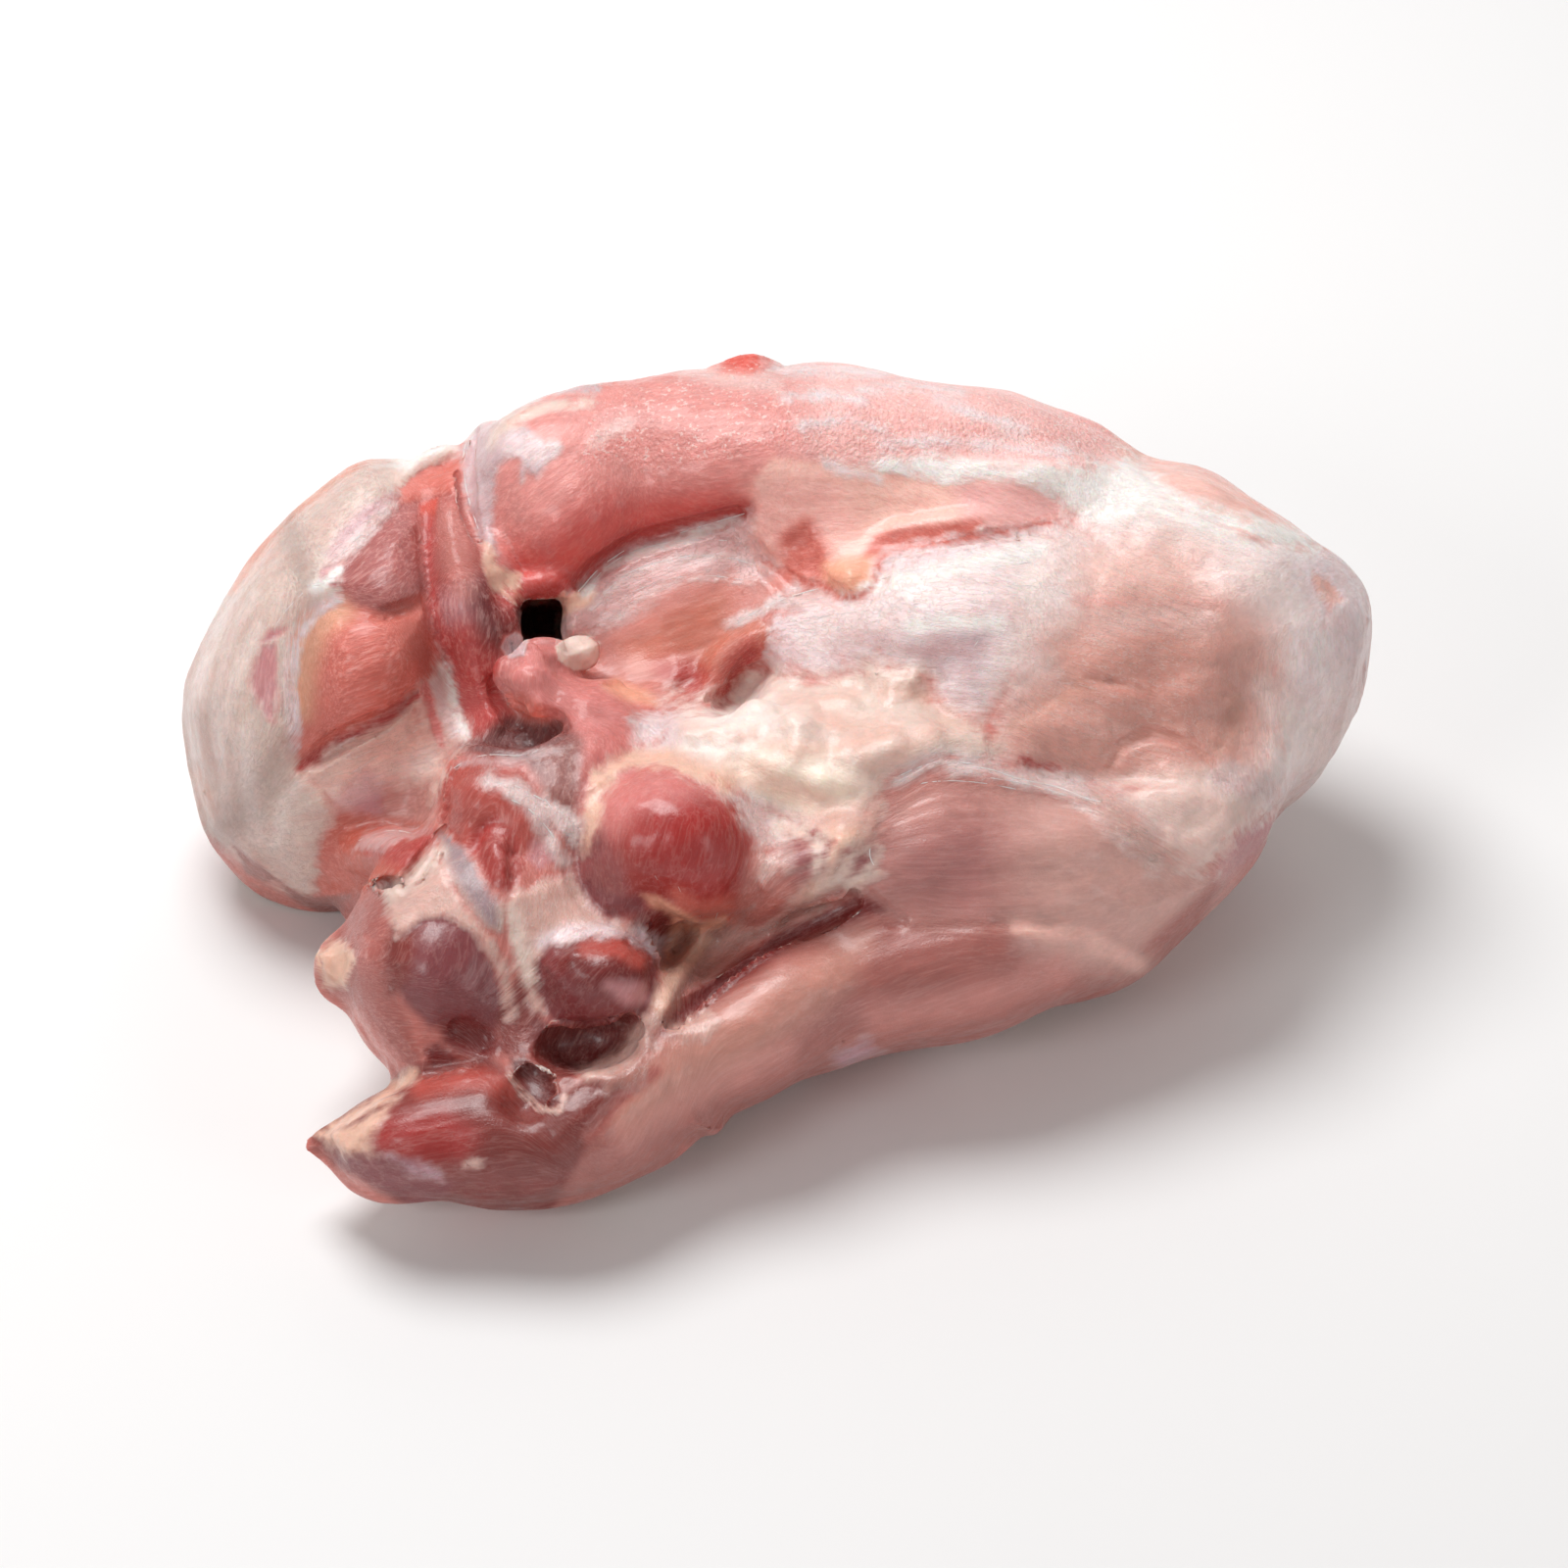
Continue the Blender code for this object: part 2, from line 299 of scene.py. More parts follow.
# Rolls of flesh and fat laid on the skin: pixels of the middle line (x, y, x, y and so on), half width and
# how far it stands out, in mm.
rolls = {
    "heartLipLeft": ((597, 905, 612, 924, 632, 931, 650, 924), 4.0, 1.0),
    "heartLipRight": ((664, 912, 684, 920, 700, 934, 716, 946, 740, 940), 3.2, 1.0),
    "foldRoll": ((1140, 782, 1152, 764, 1180, 758, 1208, 766, 1230, 786), 7.0, 1.6),
    "foldCrown": ((1186, 712, 1205, 703, 1232, 706, 1250, 720, 1258, 740), 7.0, 2.0),
    "foldBelow": ((1090, 742, 1130, 740, 1170, 732), 9.0, 1.5),
    "pRidge": ((930, 792, 970, 784, 1010, 792, 1060, 804, 1110, 816), 3.0, 1.0),
    "flapLeft": ((772, 505, 770, 532, 778, 556, 796, 570), 4.6, 1.8),
    "flapTip": ((842, 582, 858, 594, 874, 592, 882, 574), 4.5, 2.2),
    "flapEdge": ((884, 552, 910, 546, 945, 540, 985, 533, 1030, 526), 4.6, 1.7),
    "headRim": ((498, 545, 502, 575, 514, 596, 540, 610, 572, 606), 5.4, 2.8),
    "innerColumn": ((464, 530, 468, 570, 474, 610, 482, 660, 490, 710), 9.0, 1.6),
    "upperHead": ((372, 588, 398, 560, 418, 534), 12.0, 2.2),
    "lowerHead": ((335, 690, 375, 672, 420, 662), 15.0, 3.0),
    "lowerHeadFoot": ((325, 738, 365, 728, 400, 708), 9.0, 2.0),
    "tipPatch": ((348, 872, 380, 868, 410, 862), 9.0, 2.4),
    "rednessKnob": ((420, 497, 440, 490, 458, 486), 4.5, 1.6),
    "domeLeft": ((470, 800, 488, 795, 520, 800), 8.0, 2.0),
    "domeRight": ((500, 850, 508, 880, 514, 905), 7.5, 2.2),
    "purpleOval": ((432, 965, 450, 990, 470, 1010), 12.0, 1.6),
    "knob": ((590, 985, 618, 985, 646, 996), 8.5, 2.4),
    "tendon": ((512, 920, 522, 970, 540, 1012), 4.5, 1.2),
    "creamNub": ((534, 922, 530, 945, 540, 968), 5.0, 1.8),
    "webRidge": ((556, 822, 580, 836, 572, 860, 560, 884), 3.0, 1.2),
    "shankFoot": ((612, 1080, 640, 1060, 672, 1020, 690, 975), 5.0, 1.6),
    "noduleNeck": ((560, 704, 585, 712, 604, 722), 5.0, 2.6),
    "creamSpur": ((578, 618, 590, 610, 602, 608), 2.4, 1.6),
    "flapMiddle": ((584, 708, 606, 704, 628, 700, 650, 708, 672, 720), 2.6, 1.6),
    "flapBody": ((600, 730, 630, 738, 650, 750), 8.0, 1.6),
    "tongue": ((722, 700, 730, 672, 750, 650), 5.5, 2.0),
    "tongueCap": ((776, 652, 772, 672, 758, 686), 3.2, 1.6),
    "fatNubs": ((886, 690, 902, 688, 936, 691), 3.4, 2.2),
    "fatNubBelow": ((908, 716, 928, 720), 4.6, 1.6),
    "strapRoll": ((724, 950, 706, 972, 695, 996, 686, 1020, 674, 1040), 3.6, 1.8),
    "fatLumpLeft": ((706, 742, 750, 738, 800, 742), 6.0, 1.2),
    "fatLumpMiddle": ((815, 786, 850, 778, 880, 792), 8.0, 1.8),
    "fatLumpLow": ((720, 776, 780, 792, 820, 822), 4.5, 1.2),
    "fatFlow": ((1000, 752, 960, 752, 930, 768, 905, 800), 5.0, 1.4),
    "cremeTail": ((860, 850, 850, 880, 842, 908), 5.0, 1.4),
    "rumpBump": ((722, 378, 750, 369, 780, 367, 794, 374), 4.2, 2.0),
    "bellySnag": ((700, 1140, 718, 1146, 732, 1145), 3.4, 2.8),
    "tipCrown": ((400, 1150, 440, 1152, 480, 1150), 9.0, 1.2),
    "tipBack": ((440, 1108, 480, 1100, 520, 1106), 5.0, 1.2),
    "bellyFold": ((600, 1130, 650, 1110, 710, 1090), 8.0, 1.0),
    "underLobe": ((250, 872, 268, 886, 282, 888), 4.0, 1.4),
    "endNub": ((1388, 634, 1392, 644), 3.4, 1.2),
}

# Rounded knobs set on the skin: pixel, half sizes across and up in mm, turn in degrees, how far out, and the
# pixel whose depth it takes where it stands over a hollow.
knobs = {
    "noduleMiddle": ((546, 696), (6.8, 5.8), -20, 7.0),
    "noduleLeft": ((524, 690), (4.6, 5.0), 10, 6.4),
    "noduleTop": ((546, 674), (4.8, 3.2), 0, 6.4),
    "noduleFoot": ((558, 718), (4.2, 3.6), 30, 5.6),
    "lilacNub": ((527, 660), (2.3, 2.1), 0, 5.4),
    "creamKnob": ((589, 666), (5.0, 4.1), 15, 6.4, (622, 690)),
    "pocketRight": ((590, 636), (6.0, 9.0), 14, 0.4, (622, 640)),
    "pocketLow": ((556, 670), (7.5, 5.0), 0, 0.6, (530, 700)),
    "pocketLeft": ((518, 630), (4.2, 7.0), -14, 0.2, (500, 630)),
    "nubLeft": ((896, 688), (3.2, 2.4), -10, 2.4),
    "nubMiddle": ((914, 698), (3.0, 2.2), 0, 1.8),
    "nubRight": ((934, 692), (2.8, 2.6), 20, 2.6),
    "nubLow": ((916, 716), (4.0, 2.6), 10, 1.8),
    "saddleLumpA": ((770, 730), (7.0, 4.5), 20, 1.8),
    "saddleLumpB": ((820, 745), (6.5, 4.0), -10, 1.7),
    "saddleLumpC": ((860, 716), (6.0, 3.6), 10, 1.6),
    "saddleLumpD": ((800, 786), (8.0, 3.6), -18, 1.7),
    "saddleLumpE": ((850, 800), (7.0, 4.2), -12, 2.0),
    "saddleLumpF": ((896, 768), (7.5, 4.0), 20, 2.0),
    "saddleLumpG": ((716, 748), (6.5, 4.5), 10, 1.6),
    "flapTip": ((866, 588), (4.0, 3.4), 30, 1.8),
    "whiteLump": ((340, 592), (2.6, 1.6), 40, 1.6),
    "heartTop": ((690, 850), (13.0, 11.0), 10, 0.6),
    "shankBit": ((586, 976), (3.0, 3.0), 0, 1.6),
    "sheetFlake": ((332, 985), (2.6, 4.4), 10, 1.4),
    "creamDot": ((780, 906), (1.6, 1.4), 0, 1.2),
    "endNub": ((1366, 640), (1.4, 0.9), 20, 0.9),
    "yellowSpot": ((208, 808), (2.2, 4.0), 15, 0.5),
    "headRimLow": ((544, 602), (8.0, 3.8), 6, 1.4, (560, 570)),
    "headRimRight": ((572, 598), (5.2, 3.4), -24, 1.2, (588, 572)),
}


def atDepth(pixel, out):
    # the place on the sight line through a pixel that stands out by so many metres
    near = (1.0 - out * 1000.0 / easel["distance"]) * easel["mmPerPixel"] / 1000.0
    return easelMatrix @ Vector(((pixel[0] - halfPicture) * near, (halfPicture - pixel[1]) * near, out))


def knobOnSkin(name, tree, pixel, halves, turned, lift, anchor=None):
    hit, normal = pinned(tree, anchor or pixel)
    if anchor:
        hit = atDepth(pixel, (easelMatrix.inverted() @ hit).z)
        normal = outwards
    depth = min(halves)
    deselectAll()
    bpy.ops.mesh.primitive_uv_sphere_add(
        segments=knobShape["segments"], ring_count=knobShape["rings"], radius=0.001
    )
    knob = bpy.context.object
    knob.name = name
    sizes = Matrix.Diagonal((*halves, depth, 1))
    turn = Matrix.Rotation(math.radians(turned), 4, "Z")
    middle = Matrix.Translation(hit - (normal + outwards) * 0.5 * (depth - lift) / 1000.0)
    knob.data.transform(middle @ easelTurn.to_4x4() @ turn @ sizes)
    knob.data.update()
    return knob


def layRolls(skin):
    tree = treeOf(skin)
    rods = [
        tubeOnSkin(name, tree, pairs(pixels), halfWidth, halfWidth - lift)
        for name, (pixels, halfWidth, lift) in rolls.items()
    ]
    rods += [knobOnSkin(name, tree, *shape) for name, shape in knobs.items()]
    joinTo(skin, rods)
    remeshed(skin, skinShape["rollRounds"])


# Clefts cut into the skin: pixels of the middle line, half width and depth in mm.
clefts = {
    "columnLeft": ((432, 524, 433, 560, 438, 600, 444, 640, 456, 676, 464, 700), 1.5, 0.9),
    "headsBetween": ((380, 628, 410, 622, 436, 612), 1.8, 1.4),
    "underLowerHead": ((308, 782, 332, 764, 360, 750, 396, 732, 430, 706), 2.4, 2.4),
    "lobeFold": ((346, 820, 366, 802), 1.5, 1.2),
    "tipFold": ((444, 842, 438, 862, 424, 882, 408, 896), 3.0, 3.2),
    "lobeToShank": ((462, 770, 450, 800, 443, 832), 2.4, 2.8),
    "shankToLobe": ((404, 900, 385, 906, 366, 914), 2.6, 2.6),
    "underTopMuscle": ((592, 600, 612, 577, 650, 554, 700, 542, 756, 527), 2.6, 3.0),
    "headLeft": ((474, 452, 471, 488, 476, 520, 492, 552), 2.0, 2.4),
    "tongueHollow": ((706, 682, 698, 692, 688, 696), 2.6, 1.4),
    "tongueRight": ((752, 690, 764, 676, 770, 662), 2.8, 1.6),
    "tongueFoot": ((724, 712, 738, 714, 746, 702), 2.2, 1.8),
    "heartLeft": ((582, 842, 582, 880, 592, 912, 616, 936, 648, 936), 1.6, 1.3),
    "heartNotch": ((656, 930, 668, 938, 686, 948), 2.2, 3.4),
    "heartGap": ((660, 948, 672, 962, 676, 976), 2.0, 3.2),
    "underKnob": ((566, 1054, 595, 1062, 622, 1060, 648, 1046), 3.2, 2.8),
    "crevice": ((682, 1047, 712, 1014, 756, 984, 804, 950, 852, 930, 877, 917), 2.4, 3.4),
    "creviceRight": ((872, 908, 900, 932, 925, 942), 2.2, 2.0),
    "belowP": ((1010, 938, 1050, 934, 1090, 942), 2.2, 1.6),
    "redPit": ((1042, 776, 1058, 782, 1080, 785), 1.4, 1.4),
    "foldsFoot": ((1088, 788, 1130, 786, 1168, 788), 2.2, 1.8),
    "creaseUpper": ((1120, 695, 1152, 701, 1180, 708), 1.4, 1.4),
    "foldBetween": ((1134, 780, 1146, 758, 1180, 749, 1212, 757, 1236, 776), 1.4, 0.9),
    "foldRight": ((1262, 726, 1256, 748, 1240, 762), 2.4, 1.3),
    "foldFoot": ((1168, 788, 1184, 790, 1192, 800), 1.4, 1.2),
    "purplePit": ((462, 1050, 480, 1056, 500, 1064), 2.8, 2.6),
    "darkPit": ((446, 1074, 458, 1077), 2.0, 1.6),
    "deepPit": ((533, 1090, 546, 1104, 559, 1120), 3.6, 4.6),
    "notch": ((424, 1090, 450, 1090, 490, 1082), 2.0, 2.2),
    "noduleFoot": ((500, 690, 506, 716, 528, 738, 562, 742), 2.6, 3.4),
    "domesBetween": ((472, 870, 488, 846, 500, 832), 1.5, 1.4),
    "domeShadow": ((520, 850, 530, 880, 520, 908), 1.6, 1.2),
    "fatHole": ((836, 856, 844, 862), 1.3, 2.4),
    "fatCrack": ((862, 884, 872, 896), 1.6, 1.8),
    "fatDip": ((886, 744, 906, 736, 918, 742), 2.2, 1.4),
    "nubGap": ((890, 704, 902, 712), 1.3, 1.2),
    "whiteHole": ((1220, 852, 1222, 858), 1.3, 2.4),
    "whiteHoleSmall": ((1238, 840, 1239, 844), 0.9, 1.6),
    "endDimple": ((1346, 592, 1360, 606, 1368, 614), 3.5, 1.0),
    "rumpPit": ((742, 372, 762, 370), 2.2, 1.6),
    "bellyLine": ((600, 1160, 625, 1130, 660, 1108), 1.6, 1.0),
    "pFlap": ((915, 905, 940, 912, 962, 908), 1.6, 1.2),
    "flapUnder": ((764, 550, 778, 574, 800, 592, 842, 602, 860, 615, 882, 611, 896, 596, 900, 574, 914, 564,
        950, 558, 1010, 547, 1070, 535), 1.7, 2.0),
    "noduleFoldA": ((524, 684, 542, 682, 560, 690, 572, 700), 1.0, 1.0),
    "noduleFoldB": ((552, 700, 560, 712, 558, 724), 0.9, 0.9),
    "noduleFoldC": ((568, 712, 578, 700, 584, 690), 0.9, 0.9),
}


def cutClefts(skin):
    tree = treeOf(skin)
    group = bpy.data.collections.new("clefts")
    bpy.context.scene.collection.children.link(group)
    for name, (pixels, halfWidth, depth) in clefts.items():
        rod = tubeOnSkin(name, tree, pairs(pixels), halfWidth, depth - halfWidth)
        for home in list(rod.users_collection):
            home.objects.unlink(rod)
        group.objects.link(rod)
    cut = skin.modifiers.new("clefts", "BOOLEAN")
    cut.operation = "DIFFERENCE"
    cut.operand_type = "COLLECTION"
    cut.collection = group
    cut.solver = "MANIFOLD"
    applyAll(skin)
    for rod in list(group.objects):
        bpy.data.objects.remove(rod)
    bpy.data.collections.remove(group)
    remeshed(skin, skinShape["cleftRounds"])


# Where the outline is drawn out: middle in pixels, reach in pixels, and the move in pixels.
nudges = {
    "bellyEdge": ((1010, 1050), 120, (4, 15)),
    "bellyEdgeRight": ((1130, 1000), 80, (5, 8)),
    "leftEdge": ((195, 700), 110, (-10, 0)),
    "leftTop": ((275, 552), 80, (4, 5)),
    "leftTopRight": ((392, 474), 80, (-8, -17)),
    "junction": ((462, 468), 75, (6, -32)),
    "bellySnag": ((726, 1140), 24, (2, 11)),
    "footEdge": ((690, 1170), 60, (4, 4)),
    "rumpTop": ((765, 365), 45, (0, -8)),
    "topEdge": ((600, 390), 60, (-4, -4)),
    "rightEnd": ((1400, 595), 95, (14, -8)),
    "topLeft": ((525, 408), 95, (-5, -15)),
    "topMiddle": ((875, 374), 120, (0, -17)),
    "rightTop": ((1262, 500), 150, (9, -24)),
    "rightLow": ((1375, 750), 80, (-9, 0)),
}


def nudgeOutline(piece):
    co = placesOf(piece)[0]
    pixels = toPixels(co)
    for middle, reach, move in nudges.values():
        far = np.linalg.norm(pixels - np.array(middle, float), axis=1) / reach
        push = np.array((move[0], -move[1], 0.0)) * easel["mmPerPixel"] / 1000.0
        co += (1.0 - smoothStep(0.0, 1.0, far))[:, None] * (np.array(easelTurn) @ push)
    setPlaces(piece, co)


# Tissues: kind, colour as seen in soft white light, how much of the flesh it hides, and how silky it is.
tissues = {
    "coat": ("cover", (223, 199, 188), 0.9, 0.85),
    "coatRight": ("cover", (243, 220, 215), 0.88, 0.6),
    "silver": ("cover", (246, 225, 226), 0.88, 0.85),
    "bandWhite": ("cover", (253, 242, 237), 1.0, 0.7),
    "lilacSkin": ("cover", (216, 189, 192), 0.74, 0.6),
    "film": ("cover", (232, 205, 205), 0.55, 1.0),
    "filmWhite": ("cover", (238, 218, 215), 0.8, 1.0),
    "filmPink": ("cover", (228, 192, 182), 0.7, 0.95),
    "filmLilac": ("cover", (208, 165, 178), 0.6, 0.8),
    "tendon": ("cover", (166, 138, 142), 0.85, 0.6),
    "cream": ("cover", (232, 205, 193), 1.0, 0.0),
    "creamWarm": ("cover", (238, 192, 170), 0.92, 0.1),
    "fatGrey": ("cover", (224, 178, 166), 0.8, 0.5),
    "fatWhite": ("cover", (236, 204, 194), 0.93, 0.25),
    "sheet": ("cover", (226, 182, 170), 0.85, 0.5),
    "pinkRed": ("flesh", (214, 126, 121)),
    "salmonRed": ("flesh", (216, 112, 98)),
    "orange": ("flesh", (232, 164, 134)),
    "orangeLip": ("flesh", (240, 172, 144)),
    "paleOrange": ("flesh", (250, 182, 152)),
    "brightRed": ("flesh", (228, 84, 66)),
    # deep red: the flesh's own deep red, and painted shade in creases and hollows
    "deepRed": ("flesh", (180, 58, 52)),
    # dark red painted as shade in crevices, pits and gaps
    "darkRed": ("flesh", (128, 34, 32)),
    # near-black painted as the shade inside the pocket's hollow
    "black": ("flesh", (60, 12, 12)),
    "rose": ("flesh", (226, 146, 139)),
    "paleRose": ("flesh", (246, 184, 178)),
    "salmon": ("flesh", (255, 198, 184)),
    "salmonPale": ("flesh", (240, 186, 174)),
    "salmonBody": ("flesh", (222, 160, 148)),
    "salmonBrown": ("flesh", (206, 144, 130)),
    "filmFlesh": ("flesh", (212, 138, 128)),
    "tongueFlesh": ("flesh", (204, 120, 100)),
    "heartRed": ("flesh", (170, 62, 56)),
    "heartCore": ("flesh", (172, 44, 40)),
    "plum": ("flesh", (136, 64, 68)),
    "mauve": ("flesh", (200, 134, 136)),
    "mauveDeep": ("flesh", (158, 86, 86)),
    "shankRed": ("flesh", (184, 80, 70)),
    "shankBrown": ("flesh", (178, 98, 90)),
    "bellyPink": ("flesh", (174, 104, 96)),
    "pPink": ("flesh", (200, 140, 131)),
    "tipRed": ("flesh", (132, 52, 46)),
    "pool": ("flesh", (122, 66, 64)),
    "brown": ("flesh", (150, 92, 86)),
    "amber": ("flesh", (244, 170, 134)),
    "tipCore": ("flesh", (166, 44, 40)),
    "tipFlesh": ("flesh", (192, 88, 70)),
    # darker red of the top muscle's underside, painted partly as shade where it turns down
    "undersideRed": ("flesh", (214, 90, 83)),
    "knobPlum": ("flesh", (130, 50, 52)),
    "footPink": ("cover", (178, 124, 114), 0.72, 0.7),
    "shade": ("tint", (170, 116, 106), 0.3),
    "warmShade": ("tint", (230, 172, 152), 0.34),
    "blush": ("tint", (226, 150, 140), 0.45),
    "glow": ("tint", (252, 232, 226), 0.4),
    "columnFlesh": ("flesh", (190, 80, 74)),
    "columnDeep": ("flesh", (196, 72, 68)),
    "headPink": ("flesh", (174, 92, 88)),
    "hairy": ("cover", (250, 214, 200), 0.82, 0.9),
    "knobRed": ("flesh", (118, 26, 24)),
    "pPale": ("flesh", (212, 162, 152)),
    "pShade": ("flesh", (176, 116, 112)),
    # very dark red painted as shade in the deep pit
    "holeRed": ("flesh", (104, 30, 28)),
    "saddleShade": ("tint", (226, 178, 160), 0.34),
    "saddlePale": ("cover", (250, 234, 226), 1.0, 0.1),
    "saddleWarm": ("cover", (255, 232, 214), 1.0, 0.1),
    "columnTop": ("flesh", (192, 96, 88)),
    "pocketShade": ("flesh", (118, 48, 50)),
    "strap": ("cover", (216, 168, 150), 0.95, 0.2),
    "sideBrown": ("flesh", (192, 116, 106)),
    # dark brown painted as shade in the hollow under the knob
    "pocketBrown": ("flesh", (120, 46, 44)),
    "flapPink": ("flesh", (255, 190, 180)),
    "coatGrey": ("tint", (196, 164, 154), 0.26),
    "coatWarm": ("tint", (236, 158, 134), 0.6),
    "salmonFilm": ("cover", (226, 168, 155), 0.92, 0.6),
    "salmonFilmPale": ("cover", (242, 196, 185), 0.9, 0.6),
    "salmonFilmDark": ("cover", (212, 152, 139), 0.92, 0.6),
}

